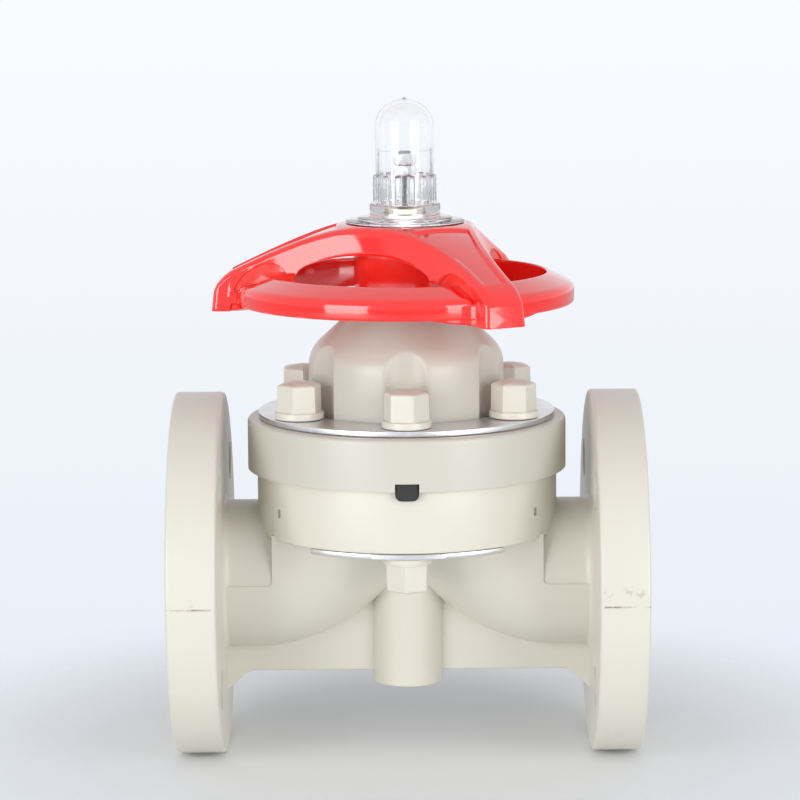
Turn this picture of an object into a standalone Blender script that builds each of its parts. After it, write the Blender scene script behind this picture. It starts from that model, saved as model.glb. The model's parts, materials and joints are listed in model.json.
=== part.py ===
"""Flanged weir diaphragm valve of 50 mm nominal bore, standing on its two pipe flanges.

Metres, X along the pipe, the front at -Y, Z up. The origin lies on the floor under the point where the
pipe axis and the stem axis cross. At rest the valve is part open: turning the handwheel one way lowers the
stem by CLOSE_TRAVEL until the stop nuts meet the sleeve, and the other way lifts it by OPEN_TRAVEL.
"""

import math

import bmesh
import bpy
import numpy as np

MM = 0.001

# Clearances
GAP = 0.3 * MM
HOLE_CLEARANCE = 0.5 * MM
SLIDE_CLEARANCE = 0.5 * MM
OVERLAP = 2 * MM

# Pipe flanges and necks
FACE_TO_FACE = 210 * MM
FLANGE_DIAMETER = 165 * MM
FLANGE_THICKNESS = 22 * MM
FLANGE_EDGE = 1.6 * MM
FLANGE_BOLT_CIRCLE = 125 * MM
FLANGE_HOLE_DIAMETER = 18 * MM
FLANGE_HOLES = 4
FLANGE_SEGMENTS = 36
BORE_DIAMETER = 50 * MM
NECK_WALL = 8 * MM
NECK_FILLET = 4 * MM

# Body below the seat
SEAT_RISE = 48.8 * MM
BARREL_RADIUS = 67.8 * MM
BARREL_DEPTH = 27.8 * MM
BLOCK_SETBACK = 7.3 * MM
PARTING_LEDGE = 0.6 * MM
WEIR_RISE = 25.5 * MM
WEIR_LENGTH = 11.5 * MM
WEIR_ROUND = 3 * MM
CHAMBER_WALL = 5.1 * MM
WEB_THICKNESS = 8 * MM
WEB_DROP = 45.7 * MM
WEB_FOOT_DROP = 9 * MM
WEB_FOOT_LENGTH = 10.5 * MM
BOSS_RADIUS = 16.4 * MM
BOSS_DRAFT = 0.5 * MM
BOSS_DROP = 51 * MM

# Bonnet bolts, their nuts and caps
BOLT_COUNT = 6
FIRST_BOLT_AZIMUTH = math.radians(-90)
BOLT_EDGE_DISTANCE = 12.8 * MM
BOLT_DIAMETER = 8 * MM
BOLT_END = 2 * MM
HEX_ACROSS_FLATS = 13 * MM
HEAD_HEIGHT = 5.3 * MM
NUT_HEIGHT = 6.5 * MM
CAPTIVE_NUT_DEPTH = 12.5 * MM
WINDOW_WIDTH = 2.2 * MM
WINDOW_HEIGHT = 4.4 * MM
CAP_RADIUS = 10.9 * MM
CAP_COLLAR = 3.1 * MM
CAP_ACROSS_FLATS = 17.8 * MM
CAP_HEIGHT = 16.7 * MM
CAP_CROWN = 1.8 * MM
CAP_TOP_INSET = 2.7 * MM
CAP_TOP_ROUNDING = 0.8
CAP_DRAFT = 0.4 * MM
CAP_SIDE_CLEARANCE = 2 * MM
CAP_TURNS = [math.radians(turn) for turn in (11, 0, 20, 35, 8, -19)]
LOWER_CAP_TURN = math.radians(-6)

# Steel plates
PLATE_THICKNESS = 2.4 * MM
RING_PLATE_SETBACK = 4.8 * MM
LOWER_PLATE_SETBACK = 0.8 * MM
LOWER_PLATE_HALF_ANGLE = math.radians(42.5)
LOWER_PLATE_CORNER = 6 * MM

# Diaphragm and compressor
DIAPHRAGM_THICKNESS = 4.6 * MM
DIAPHRAGM_SETBACK = 3.8 * MM
DIAPHRAGM_FREE_EDGE = 1 * MM
DIAPHRAGM_BEND = 3.4 * MM
DIAPHRAGM_LIFT_OFF = 2.2 * MM
TAB_WIDTH = 10.5 * MM
TAB_RISE = 3.5 * MM
TAB_DROP = 3.9 * MM
TAB_INSET = 1.2 * MM
TAB_ROUND = 2.7 * MM
STUD_HEAD_RADIUS = 7 * MM
STUD_HEAD_HEIGHT = 1.4 * MM
STUD_RADIUS = 3.5 * MM
STUD_LENGTH = 8 * MM
COMPRESSOR_CLEARANCE = 5 * MM
COMPRESSOR_SAG = 7.5 * MM
COMPRESSOR_RIM = 4 * MM
COMPRESSOR_HUB_RADIUS = 13 * MM
COMPRESSOR_HEIGHT = 30 * MM
GUIDE_WIDTH = 8 * MM
GUIDE_REACH = 3.5 * MM
PIN_RADIUS = 2 * MM
PIN_DROP = 7 * MM

# Bonnet
BONNET_OVERHANG = 4.2 * MM
BONNET_RING_HEIGHT = 23 * MM
BONNET_EDGE = 2.4 * MM
DOME_SETBACK = 11 * MM
DOME_WALL = 11 * MM
DOME_SHOULDER = 30 * MM
DOME_SHOULDER_ROUND = 3.2 * MM
DOME_HEIGHT = 47.9 * MM
DOME_TOP_WALL = 7.2 * MM
FLUTE_CLEARANCE = 4.4 * MM
BONNET_CROWN = 26 * MM

# Stem, sleeve and what holds the sleeve in the bonnet
STEM_DIAMETER = 14 * MM
STEM_TOP_DROP = 16 * MM
SLEEVE_WALL = 3.7 * MM
SLEEVE_TAIL = 10 * MM
COLLAR_RADIUS = 16.5 * MM
COLLAR_HEIGHT = 5.5 * MM
WASHER_HEIGHT = 0.8 * MM
GLAND_WIDTH = 4.2 * MM
GLAND_HEIGHT = 6 * MM
SEAL_RADIUS = 0.85 * MM
SEAL_DROP = 5 * MM
SHOULDER_RISE = 3.5 * MM
DRIVE_ACROSS_FLATS = 20 * MM
SLEEVE_NECK_RADIUS = 9.2 * MM
WHEEL_WASHER_HEIGHT = 1.2 * MM
WHEEL_NUT_ACROSS_FLATS = 19.6 * MM
WHEEL_NUT_HEIGHT = 5.4 * MM
SLEEVE_TOP_RISE = 2.1 * MM

# Handwheel
ARM_COUNT = 3
ARM_AZIMUTH = math.radians(60.7)
HUB_HEIGHT = 35.7 * MM
HUB_RADIUS = 23 * MM
HUB_FLAT_RADIUS = 28 * MM
HUB_RECESS_DEPTH = 3 * MM
WAIST_RADIUS = 31 * MM
WHEEL_WALL = 2.8 * MM
ARM_REACH = 86.2 * MM
ARM_HALF_WIDTH = 8.5 * MM
ARM_CORNER = 2 * MM
ARM_FLARE_SETBACK = 5.9 * MM
ARM_FLARE_POWER = 1.75
ARM_FALL = 19.4 * MM
ARM_FALL_POWER = 1.2
TIP_ROUND_REACH = 8.3 * MM
TIP_ROUND_FALL = 3.9 * MM
TIP_FLARE = 0.8 * MM
TIP_DROP = 3 * MM
SKIRT_REACH = 11 * MM
WAIST_WALL_HEIGHT = 11.6 * MM
ARCH_WALL_HEIGHT = 5.4 * MM
TOOTH_RADIUS = 51 * MM
TOOTH_WIDTH = 3 * MM
TOOTH_HEIGHT = 2.2 * MM
TOOTH_RUN = 4.5 * MM
SKIRT_START_SHARE = 0.4
TIP_OVERHANG = 10.3 * MM
RIM_WIDTH = 12.5 * MM
RIM_HEIGHT = 14.1 * MM
RIM_BAND = 7.5 * MM
RIM_EDGE = 1.6 * MM
TIP_FILLET = 20 * MM
PANEL_DEPTH = 0.7 * MM
PANEL_BORDER = 2.4 * MM
PANEL_START = 33 * MM
PANEL_TIP_MARGIN = 8.2 * MM

# Indicator rod, stop nuts and clear cover
ROD_DIAMETER = 6 * MM
ROD_END = 1 * MM
ROD_SOCKET_DEPTH = 14 * MM
STOP_NUT_ACROSS_FLATS = 10 * MM
STOP_NUT_LOWER_HEIGHT = 4.6 * MM
STOP_NUT_UPPER_HEIGHT = 5.2 * MM
STOP_NUT_TURNS = [math.radians(turn) for turn in (18, 24)]
CLOSE_TRAVEL = 14.4 * MM
OPEN_TRAVEL = 10 * MM
COVER_WALL = 1.5 * MM
COVER_RADIUS = 13.1 * MM
COVER_BASE_RADIUS = 26.7 * MM
COVER_BASE_HEIGHT = 2 * MM
COVER_CONE_HEIGHT = 2.2 * MM
COVER_COLLAR_RADIUS = 15.75 * MM
COVER_COLLAR_HEIGHT = 4.9 * MM
COVER_RIB_COUNT = 12
COVER_RIB_RISE = 1.2 * MM
COVER_RIB_HEIGHT = 12.7 * MM
COVER_HEADROOM = 9.5 * MM
COVER_GATE_RADIUS = 1 * MM

# Levels and radii that follow from the sizes above
AXIS_Z = FLANGE_DIAMETER / 2 * math.cos(math.pi / FLANGE_SEGMENTS)
BORE_RADIUS = BORE_DIAMETER / 2
NECK_RADIUS = BORE_RADIUS + NECK_WALL
BOWL_RADIUS = NECK_RADIUS + PARTING_LEDGE
BOLT_CIRCLE_RADIUS = BARREL_RADIUS - BOLT_EDGE_DISTANCE
BLOCK_HALF_LENGTH = BARREL_RADIUS - BLOCK_SETBACK
BLOCK_BULGE = BOLT_CIRCLE_RADIUS - CAP_RADIUS - CAP_SIDE_CLEARANCE - BOWL_RADIUS
CHAMBER_BULGE = BOWL_RADIUS + BLOCK_BULGE - CHAMBER_WALL - BORE_RADIUS
DOME_RADIUS = BOLT_CIRCLE_RADIUS - DOME_SETBACK
DOME_TOP_RADIUS = COLLAR_RADIUS + SLIDE_CLEARANCE + GAP + DOME_TOP_WALL
BONNET_CAVITY_RADIUS = DOME_RADIUS - DOME_WALL
COMPRESSOR_RADIUS = BONNET_CAVITY_RADIUS - COMPRESSOR_CLEARANCE
DIAPHRAGM_SPAN = BONNET_CAVITY_RADIUS + DIAPHRAGM_FREE_EDGE
RIM_RADIUS = ARM_REACH - TIP_OVERHANG
ARM_FLARE_START = RIM_RADIUS - ARM_FLARE_SETBACK
PANEL_END = ARM_REACH - PANEL_TIP_MARGIN
SEAT_Z = AXIS_Z + SEAT_RISE
BARREL_BASE_Z = SEAT_Z - BARREL_DEPTH
BONNET_BASE_Z = SEAT_Z + GAP
BONNET_RING_RADIUS = BARREL_RADIUS + BONNET_OVERHANG
BONNET_RING_TOP_Z = BONNET_BASE_Z + BONNET_RING_HEIGHT
BONNET_TOP_Z = BONNET_RING_TOP_Z + DOME_HEIGHT
RING_PLATE_Z = BONNET_RING_TOP_Z + GAP
RING_PLATE_TOP_Z = RING_PLATE_Z + PLATE_THICKNESS
HEAD_Z = RING_PLATE_TOP_Z + GAP
LOWER_PLATE_TOP_Z = BARREL_BASE_Z - GAP
LOWER_PLATE_Z = LOWER_PLATE_TOP_Z - PLATE_THICKNESS
LOWER_NUT_TOP_Z = LOWER_PLATE_Z - GAP
CAPTIVE_NUT_Z = SEAT_Z - CAPTIVE_NUT_DEPTH - NUT_HEIGHT
BOLT_HOLE_RADIUS = BOLT_DIAMETER / 2 + HOLE_CLEARANCE
DIAPHRAGM_Z = BONNET_BASE_Z
DIAPHRAGM_TOP_Z = DIAPHRAGM_Z + DIAPHRAGM_THICKNESS
DIAPHRAGM_RADIUS = BARREL_RADIUS - DIAPHRAGM_SETBACK
WEIR_Z = AXIS_Z + WEIR_RISE
DIAPHRAGM_CENTRE_Z = WEIR_Z + CLOSE_TRAVEL
COMPRESSOR_Z = DIAPHRAGM_CENTRE_Z + DIAPHRAGM_THICKNESS + GAP
COMPRESSOR_RIM_Z = COMPRESSOR_Z + COMPRESSOR_SAG + COMPRESSOR_RIM
COMPRESSOR_TOP_Z = COMPRESSOR_Z + COMPRESSOR_HEIGHT
GUIDE_Z = DIAPHRAGM_TOP_Z + CLOSE_TRAVEL + 2 * GAP
STEM_RADIUS = STEM_DIAMETER / 2
STEM_Z = COMPRESSOR_Z + STUD_LENGTH + OVERLAP
STEM_BORE_RADIUS = STEM_RADIUS + GAP
SLEEVE_RADIUS = STEM_BORE_RADIUS + SLEEVE_WALL
SLEEVE_SHOULDER_Z = BONNET_TOP_Z + SHOULDER_RISE
COLLAR_TOP_Z = BONNET_TOP_Z - GLAND_HEIGHT - 2 * GAP - WASHER_HEIGHT
COLLAR_Z = COLLAR_TOP_Z - COLLAR_HEIGHT
GLAND_SEAT_Z = COLLAR_Z - 2 * GAP - WASHER_HEIGHT
SLEEVE_Z = GLAND_SEAT_Z - SLEEVE_TAIL
GLAND_BORE_RADIUS = COLLAR_RADIUS + SLIDE_CLEARANCE - GLAND_WIDTH
SHOULDER_RADIUS = GLAND_BORE_RADIUS - GAP
WHEEL_Z = SLEEVE_SHOULDER_Z + GAP
WHEEL_TOP_Z = WHEEL_Z + HUB_HEIGHT
HUB_RECESS_Z = WHEEL_TOP_Z - HUB_RECESS_DEPTH
WHEEL_NUT_Z = HUB_RECESS_Z + WHEEL_WASHER_HEIGHT + 2 * GAP
SLEEVE_TOP_Z = WHEEL_NUT_Z + WHEEL_NUT_HEIGHT + SLEEVE_TOP_RISE
STEM_TOP_Z = SLEEVE_TOP_Z - STEM_TOP_DROP
STOP_NUT_Z = SLEEVE_TOP_Z + CLOSE_TRAVEL + GAP
STOP_NUT_UPPER_Z = STOP_NUT_Z + STOP_NUT_LOWER_HEIGHT + GAP
ROD_TOP_Z = STOP_NUT_UPPER_Z + STOP_NUT_UPPER_HEIGHT + ROD_END
COVER_Z = WHEEL_TOP_Z + GAP
COVER_DOME_Z = ROD_TOP_Z + OPEN_TRAVEL + SLIDE_CLEARANCE
COVER_BORE_RADIUS = COVER_RADIUS - COVER_WALL
TIP_Z = WHEEL_Z - TIP_DROP

# Facet counts
ROUND_SEGMENTS = 36
MEDIUM_SEGMENTS = 24
SMALL_SEGMENTS = 18
PIN_SEGMENTS = 12
HOLE_SEGMENTS = 10

# Materials: colour, roughness, metallic
GREY_PLASTIC = ((0.72, 0.69, 0.60), 0.42, 0.0)
RED_PLASTIC = ((0.90, 0.05, 0.03), 0.18, 0.0)
ZINC_STEEL = ((0.62, 0.63, 0.64), 0.35, 1.0)
STEEL = ((0.55, 0.55, 0.55), 0.30, 1.0)
BRASS = ((0.72, 0.55, 0.25), 0.30, 1.0)
BLACK_RUBBER = ((0.02, 0.02, 0.02), 0.70, 0.0)
CLEAR_PLASTIC = ((0.95, 0.97, 0.98), 0.05, 0.0)


def clear_scene():
    for old in list(bpy.data.objects):
        bpy.data.objects.remove(old, do_unlink=True)


def skin(rings, wrapped=False):
    """Closed surface over rings of equal length, each joined to the next, with the ends capped or joined."""
    rings = np.asarray(rings, float)
    count, around = rings.shape[:2]
    mesh = bmesh.new()
    rows = [[mesh.verts.new(point) for point in ring] for ring in rings]
    steps = count if wrapped else count - 1
    for i in range(steps):
        lower = rows[i]
        upper = rows[(i + 1) % count]
        for j in range(around):
            k = (j + 1) % around
            mesh.faces.new((lower[j], lower[k], upper[k], upper[j]))
    if not wrapped:
        mesh.faces.new(rows[0][::-1])
        mesh.faces.new(rows[-1])
    return mesh


def circle(radius, height, segments, phase=0.5):
    """Ring of points round the Z axis, with a flat facet towards each axis when phase is a half."""
    angles = (np.arange(segments) + phase) * 2 * math.pi / segments
    return np.column_stack([radius * np.cos(angles), radius * np.sin(angles), np.full(segments, height)])


def turned(profile, segments, hollow=False):
    """Body turned round the Z axis from (radius, height) points: a hollow profile closes on itself."""
    return skin([circle(radius, height, segments) for radius, height in profile], hollow)


def cylinder(radius, low, high, segments=SMALL_SEGMENTS):
    return turned([(radius, low), (radius, high)], segments)


def tube(inner, outer, low, high, segments=SMALL_SEGMENTS):
    return turned([(inner, low), (outer, low), (outer, high), (inner, high)], segments, True)


def prism(outline, low, high):
    """Upright prism over a plan outline."""
    outline = np.asarray(outline, float)
    low_ring = np.column_stack([outline, np.full(len(outline), low)])
    high_ring = np.column_stack([outline, np.full(len(outline), high)])
    return skin([low_ring, high_ring])


def box(low, high):
    outline = [(low[0], low[1]), (high[0], low[1]), (high[0], high[1]), (low[0], high[1])]
    return prism(outline, low[2], high[2])


def moved(mesh, x=0.0, y=0.0, z=0.0):
    bmesh.ops.translate(mesh, vec=(x, y, z), verts=mesh.verts)
    return mesh


def gathered(meshes):
    """One mesh that holds several bodies which don't touch, for use as a cutter."""
    together = bmesh.new()
    for mesh in meshes:
        held = bpy.data.meshes.new("held")
        mesh.to_mesh(held)
        together.from_mesh(held)
        bpy.data.meshes.remove(held)
        mesh.free()
    return together


def finished_mesh(name, mesh):
    bmesh.ops.remove_doubles(mesh, verts=mesh.verts, dist=1e-7)
    bmesh.ops.dissolve_degenerate(mesh, edges=mesh.edges, dist=1e-7)
    bmesh.ops.recalc_face_normals(mesh, faces=mesh.faces)
    data = bpy.data.meshes.new(name)
    mesh.to_mesh(data)
    mesh.free()
    data.shade_smooth()
    data.set_sharp_from_angle(angle=math.radians(32))
    return data


def material(name, look):
    colour, roughness, metallic = look
    made = bpy.data.materials.new(name)
    made.use_nodes = True
    shader = made.node_tree.nodes["Principled BSDF"]
    shader.inputs["Base Color"].default_value = (*colour, 1.0)
    shader.inputs["Roughness"].default_value = roughness
    shader.inputs["Metallic"].default_value = metallic
    if look is CLEAR_PLASTIC:
        shader.inputs["Transmission Weight"].default_value = 1.0
    return made


def piece(name, mesh, look, parent=None, location=(0, 0, 0), turn=0.0):
    """One named sub-part of the valve, from a bmesh or from the mesh of an equal piece."""
    data = mesh if isinstance(mesh, bpy.types.Mesh) else finished_mesh(name, mesh)
    made = bpy.data.objects.new(name, data)
    if not data.materials:
        data.materials.append(material(name, look))
    bpy.context.scene.collection.objects.link(made)
    made.location = location
    made.rotation_euler = (0, 0, turn)
    made.parent = parent
    return made


def helper(name, mesh):
    made = bpy.data.objects.new(name, finished_mesh(name, mesh))
    bpy.context.scene.collection.objects.link(made)
    made.hide_render = True
    made.display_type = "WIRE"
    return made


def combine(target, operation, name, mesh):
    """Adds or cuts a shape: the shape stays in the scene as a hidden helper."""
    modifier = target.modifiers.new(name, "BOOLEAN")
    modifier.operation = operation
    modifier.solver = "EXACT"
    modifier.object = helper(f"{target.name}_{name}", mesh)
    modifier.object.parent = target.parent


def add(target, name, mesh):
    combine(target, "UNION", name, mesh)


def cut(target, name, mesh):
    combine(target, "DIFFERENCE", name, mesh)


def axis_empty(name, height):
    made = bpy.data.objects.new(name, None)
    made.location = (0, 0, height)
    bpy.context.scene.collection.objects.link(made)
    return made


def bolt_azimuths():
    return [FIRST_BOLT_AZIMUTH + i * 2 * math.pi / BOLT_COUNT for i in range(BOLT_COUNT)]


def bolt_points():
    """Plan positions of the bonnet bolts."""
    return [(BOLT_CIRCLE_RADIUS * math.cos(a), BOLT_CIRCLE_RADIUS * math.sin(a)) for a in bolt_azimuths()]


def is_through_bolt(azimuth):
    """The front and rear bolts pass right through the barrel: the others end in captive nuts over the necks."""
    return abs(math.cos(azimuth)) < 0.1


def fillet(corner, start, end, steps):
    """Points on a round from start to end that is tangent to the sides meeting at corner."""
    t = np.linspace(0, 1, steps + 1)[:, None]
    corner, start, end = np.array(corner), np.array(start), np.array(end)
    return [tuple(p) for p in (1 - t) ** 2 * start + 2 * t * (1 - t) * corner + t * t * end]


# Valve body


def pipe_end(side):
    """Flange and neck at one end, turned round the pipe axis: side is -1 or 1."""
    face = FACE_TO_FACE / 2
    back = face - FLANGE_THICKNESS
    rim = FLANGE_DIAMETER / 2
    foot = NECK_RADIUS + NECK_FILLET
    profile = fillet((face, rim), (face, rim - FLANGE_EDGE), (face - FLANGE_EDGE, rim), 1)
    profile += fillet((back, rim), (back + FLANGE_EDGE, rim), (back, rim - FLANGE_EDGE), 1)
    profile += fillet((back, NECK_RADIUS), (back, foot), (back - NECK_FILLET, NECK_RADIUS), 2)
    profile += [(BLOCK_HALF_LENGTH - OVERLAP, NECK_RADIUS)]
    mesh = turned([(r, x) for x, r in profile], FLANGE_SEGMENTS)
    for vert in mesh.verts:
        across, up, along = vert.co
        vert.co = (side * along, across, AXIS_Z + up)
    return mesh


def spread(x):
    """How far the passage has opened out into the chamber: 1 at the stem axis, 0 where the necks start."""
    part = min(abs(x) / BLOCK_HALF_LENGTH, 1.0)
    return (1 - part * part) ** 2


def passage_middle(x):
    """Height of the widest point of the passage, which climbs from the pipe axis to the seat."""
    return AXIS_Z + SEAT_RISE * spread(x)


def weir_climb(x):
    """Rise of the passage floor from the necks to the rounded crest of the weir."""
    crest = (WEIR_RISE + BORE_RADIUS) * math.sqrt(spread(x))
    return crest * math.exp((WEIR_ROUND - math.hypot(x, WEIR_ROUND)) / WEIR_LENGTH)


def bowl_half_width(x):
    return BOWL_RADIUS + BLOCK_BULGE * spread(x)


def bowl_section(x, top):
    """Half ellipse below the passage's widest point, upright walls above it up to the given height at least."""
    angles = np.linspace(0, math.pi, 11)
    width = bowl_half_width(x)
    middle = passage_middle(x) - OVERLAP * spread(x)
    top = max(top, middle)
    depth = middle - (AXIS_Z - BOWL_RADIUS + weir_climb(x))
    lower = np.column_stack([-width * np.cos(angles), middle - depth * np.sin(angles)])
    outline = np.vstack([[[-width, top]], lower, [[width, top]]])
    return np.column_stack([np.full(len(outline), x), outline])


def bowl():
    """Moulded bowl under the barrel: two bulges that follow the passage, with the weir's notch between them."""
    neck_end = FACE_TO_FACE / 2 - FLANGE_THICKNESS + OVERLAP
    block_top = BARREL_BASE_Z + OVERLAP
    stations = BLOCK_HALF_LENGTH * np.array([1.0, 0.78, 0.58, 0.41, 0.27, 0.16, 0.07])
    inner = np.concatenate([-stations, [0.0], stations[::-1]])
    sections = [bowl_section(-neck_end, AXIS_Z), bowl_section(-BLOCK_HALF_LENGTH, AXIS_Z)]
    sections += [bowl_section(x, block_top) for x in inner]
    sections += [bowl_section(BLOCK_HALF_LENGTH, AXIS_Z), bowl_section(neck_end, AXIS_Z)]
    return skin(sections)


def web():
    """Upright rib under the pipe axis with a sloping foot against each flange."""
    end = FACE_TO_FACE / 2 - FLANGE_THICKNESS
    low = AXIS_Z - WEB_DROP
    foot = low - WEB_FOOT_DROP
    top = AXIS_Z - NECK_WALL
    side = [(end + OVERLAP, top), (end + OVERLAP, foot), (end, foot), (end - WEB_FOOT_LENGTH, low)]
    outline = [(-x, z) for x, z in side] + [(x, z) for x, z in side[::-1]]
    rings = [[(x, y, z) for x, z in outline] for y in (-WEB_THICKNESS / 2, WEB_THICKNESS / 2)]
    return skin(rings)


def boss():
    low = AXIS_Z - BOSS_DROP
    return turned([(BOSS_RADIUS - BOSS_DRAFT, low), (BOSS_RADIUS, AXIS_Z)], MEDIUM_SEGMENTS)


def passage_section(x):
    """Cross-section of the flow passage: the bore's circle at the ends, the weir's saddle in the middle."""
    middle = passage_middle(x)
    depth = middle - (AXIS_Z - BORE_RADIUS + weir_climb(x))
    width = BORE_RADIUS + CHAMBER_BULGE * spread(x)
    angles = (np.arange(16) + 0.5) * 2 * math.pi / 16
    height = np.where(np.sin(angles) > 0, BORE_RADIUS, depth)
    return np.column_stack([np.full(len(angles), x), width * np.cos(angles), middle + height * np.sin(angles)])


def passage():
    end = FACE_TO_FACE / 2 + OVERLAP
    stations = BLOCK_HALF_LENGTH * np.array([1.0, 0.76, 0.55, 0.36, 0.2, 0.08])
    x_values = [-end, *-stations, 0.0, *stations[::-1], end]
    return skin([passage_section(x) for x in x_values])


def flange_holes():
    """Bolt holes of both flanges, between the vertical and the horizontal."""
    holes = []
    face = FACE_TO_FACE / 2
    for side in (-1, 1):
        near = side * face - OVERLAP - (FLANGE_THICKNESS if side > 0 else 0)
        far = near + FLANGE_THICKNESS + 2 * OVERLAP
        for i in range(FLANGE_HOLES):
            angle = (i + 0.5) * 2 * math.pi / FLANGE_HOLES
            y = FLANGE_BOLT_CIRCLE / 2 * math.cos(angle)
            z = AXIS_Z + FLANGE_BOLT_CIRCLE / 2 * math.sin(angle)
            rim = circle(FLANGE_HOLE_DIAMETER / 2, 0, PIN_SEGMENTS)
            rings = [[(x, y + p[0], z + p[1]) for p in rim] for x in (near, far)]
            holes.append(skin(rings))
    return gathered(holes)


def captive_pocket(azimuth):
    """Nut pocket inside the barrel with its little window to the outside."""
    low = CAPTIVE_NUT_Z - GAP
    high = CAPTIVE_NUT_Z + NUT_HEIGHT + GAP
    flats = HEX_ACROSS_FLATS + 2 * GAP
    pocket = skin([hex_ring(flats, z, PIN_SEGMENTS) for z in (low, high)])
    return turned_to(moved(pocket, BOLT_CIRCLE_RADIUS), azimuth)


def nut_window(azimuth):
    middle = CAPTIVE_NUT_Z + NUT_HEIGHT / 2
    start = BOLT_CIRCLE_RADIUS + HEX_ACROSS_FLATS / 2 - OVERLAP
    low = (start, -WINDOW_WIDTH / 2, middle - WINDOW_HEIGHT / 2)
    high = (BARREL_RADIUS + OVERLAP, WINDOW_WIDTH / 2, middle + WINDOW_HEIGHT / 2)
    return turned_to(box(low, high), azimuth)


def turned_to(mesh, azimuth):
    c, s = math.cos(azimuth), math.sin(azimuth)
    for vert in mesh.verts:
        x, y, z = vert.co
        vert.co = (c * x - s * y, s * x + c * y, z)
    return mesh


def body_bolt_holes():
    holes = []
    for azimuth, (x, y) in zip(bolt_azimuths(), bolt_points()):
        through = is_through_bolt(azimuth)
        low = BARREL_BASE_Z - OVERLAP if through else CAPTIVE_NUT_Z - 2 * BOLT_END - GAP
        holes.append(moved(cylinder(BOLT_HOLE_RADIUS, low, SEAT_Z + OVERLAP, HOLE_SEGMENTS), x, y))
    return gathered(holes)


def tab_slot(low, high):
    """Opening at the front of the joint for the diaphragm's tab."""
    half = TAB_WIDTH / 2 + GAP
    front = -BONNET_RING_RADIUS - OVERLAP
    return box((-half, front, low), (half, -DIAPHRAGM_RADIUS + OVERLAP, high))


def body_tab_slot():
    half = TAB_WIDTH / 2 + GAP
    front = -BONNET_RING_RADIUS - OVERLAP
    back = -BARREL_RADIUS + TAB_INSET * 2
    return box((-half, front, SEAT_Z - TAB_DROP - GAP), (half, back, SEAT_Z + OVERLAP))


def make_body():
    body = piece("valve_body", gathered([pipe_end(-1), pipe_end(1)]), GREY_PLASTIC)
    add(body, "bowl", bowl())
    add(body, "barrel", cylinder(BARREL_RADIUS, BARREL_BASE_Z, SEAT_Z, ROUND_SEGMENTS))
    add(body, "web", web())
    add(body, "boss", boss())
    cut(body, "passage", passage())
    cut(body, "flange_holes", flange_holes())
    sides = [a for a in bolt_azimuths() if not is_through_bolt(a)]
    cut(body, "nut_pockets", gathered([captive_pocket(a) for a in sides]))
    cut(body, "nut_windows", gathered([nut_window(a) for a in sides]))
    cut(body, "bolt_holes", body_bolt_holes())
    cut(body, "tab_slot", body_tab_slot())


# Bonnet


def bonnet_profile():
    """Ring, fluted dome before fluting, gland seat and inner cavity, as one closed turned profile."""
    ring = BONNET_RING_RADIUS
    top = BONNET_RING_TOP_Z
    shoulder = top + DOME_SHOULDER
    cone_run = DOME_RADIUS - DOME_TOP_RADIUS
    cone_rise = BONNET_TOP_Z - shoulder
    slope = DOME_SHOULDER_ROUND / math.hypot(cone_run, cone_rise)
    cone_start = (DOME_RADIUS - slope * cone_run, shoulder + slope * cone_rise)
    profile = [(ring, BONNET_BASE_Z)]
    profile += fillet((ring, top), (ring, top - BONNET_EDGE), (ring - BONNET_EDGE, top), 2)
    profile += [(DOME_RADIUS, top)]
    profile += fillet((DOME_RADIUS, shoulder), (DOME_RADIUS, shoulder - DOME_SHOULDER_ROUND), cone_start, 2)
    profile += [(DOME_TOP_RADIUS, BONNET_TOP_Z)]
    seat = COLLAR_RADIUS + SLIDE_CLEARANCE
    bore = SLEEVE_RADIUS + GAP
    cavity_top = BONNET_RING_TOP_Z + BONNET_CROWN
    profile += [(seat + GAP, BONNET_TOP_Z), (seat + GAP, GLAND_SEAT_Z)]
    profile += [(bore, GLAND_SEAT_Z), (bore, cavity_top)]
    recess_top = DIAPHRAGM_TOP_Z + GAP
    profile += [(COMPRESSOR_HUB_RADIUS + OVERLAP, cavity_top)]
    profile += [(BONNET_CAVITY_RADIUS, COMPRESSOR_RIM_Z + OPEN_TRAVEL + OVERLAP)]
    profile += [(BONNET_CAVITY_RADIUS, recess_top), (DIAPHRAGM_RADIUS + GAP, recess_top)]
    profile += [(DIAPHRAGM_RADIUS + GAP, BONNET_BASE_Z)]
    return profile


def flute_cutters():
    """Round clearances in the dome beside the bolt caps."""
    radius = CAP_RADIUS + FLUTE_CLEARANCE
    low = BONNET_RING_TOP_Z + GAP
    return gathered([moved(cylinder(radius, low, BONNET_TOP_Z), x, y) for x, y in bolt_points()])


def guide_grooves():
    """Two upright grooves that keep the compressor from turning."""
    half = GUIDE_WIDTH / 2 + GAP
    reach = BONNET_CAVITY_RADIUS + GUIDE_REACH + GAP
    inside = COMPRESSOR_HUB_RADIUS
    low = DIAPHRAGM_TOP_Z - OVERLAP
    high = COMPRESSOR_TOP_Z + OPEN_TRAVEL + GAP
    grooves = [box((inside, -half, low), (reach, half, high)), box((-reach, -half, low), (-inside, half, high))]
    return gathered(grooves)


def ring_bolt_holes(low, high):
    holes = [moved(cylinder(BOLT_HOLE_RADIUS, low, high, HOLE_SEGMENTS), x, y) for x, y in bolt_points()]
    return gathered(holes)


def make_bonnet():
    bonnet = piece("bonnet", turned(bonnet_profile(), ROUND_SEGMENTS, True), GREY_PLASTIC)
    cut(bonnet, "flutes", flute_cutters())
    cut(bonnet, "guide_grooves", guide_grooves())
    cut(bonnet, "bolt_holes", ring_bolt_holes(SEAT_Z, RING_PLATE_Z + OVERLAP))
    cut(bonnet, "tab_slot", tab_slot(SEAT_Z - OVERLAP, SEAT_Z + TAB_RISE + GAP))


# Plates, bolts, nuts and caps


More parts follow.
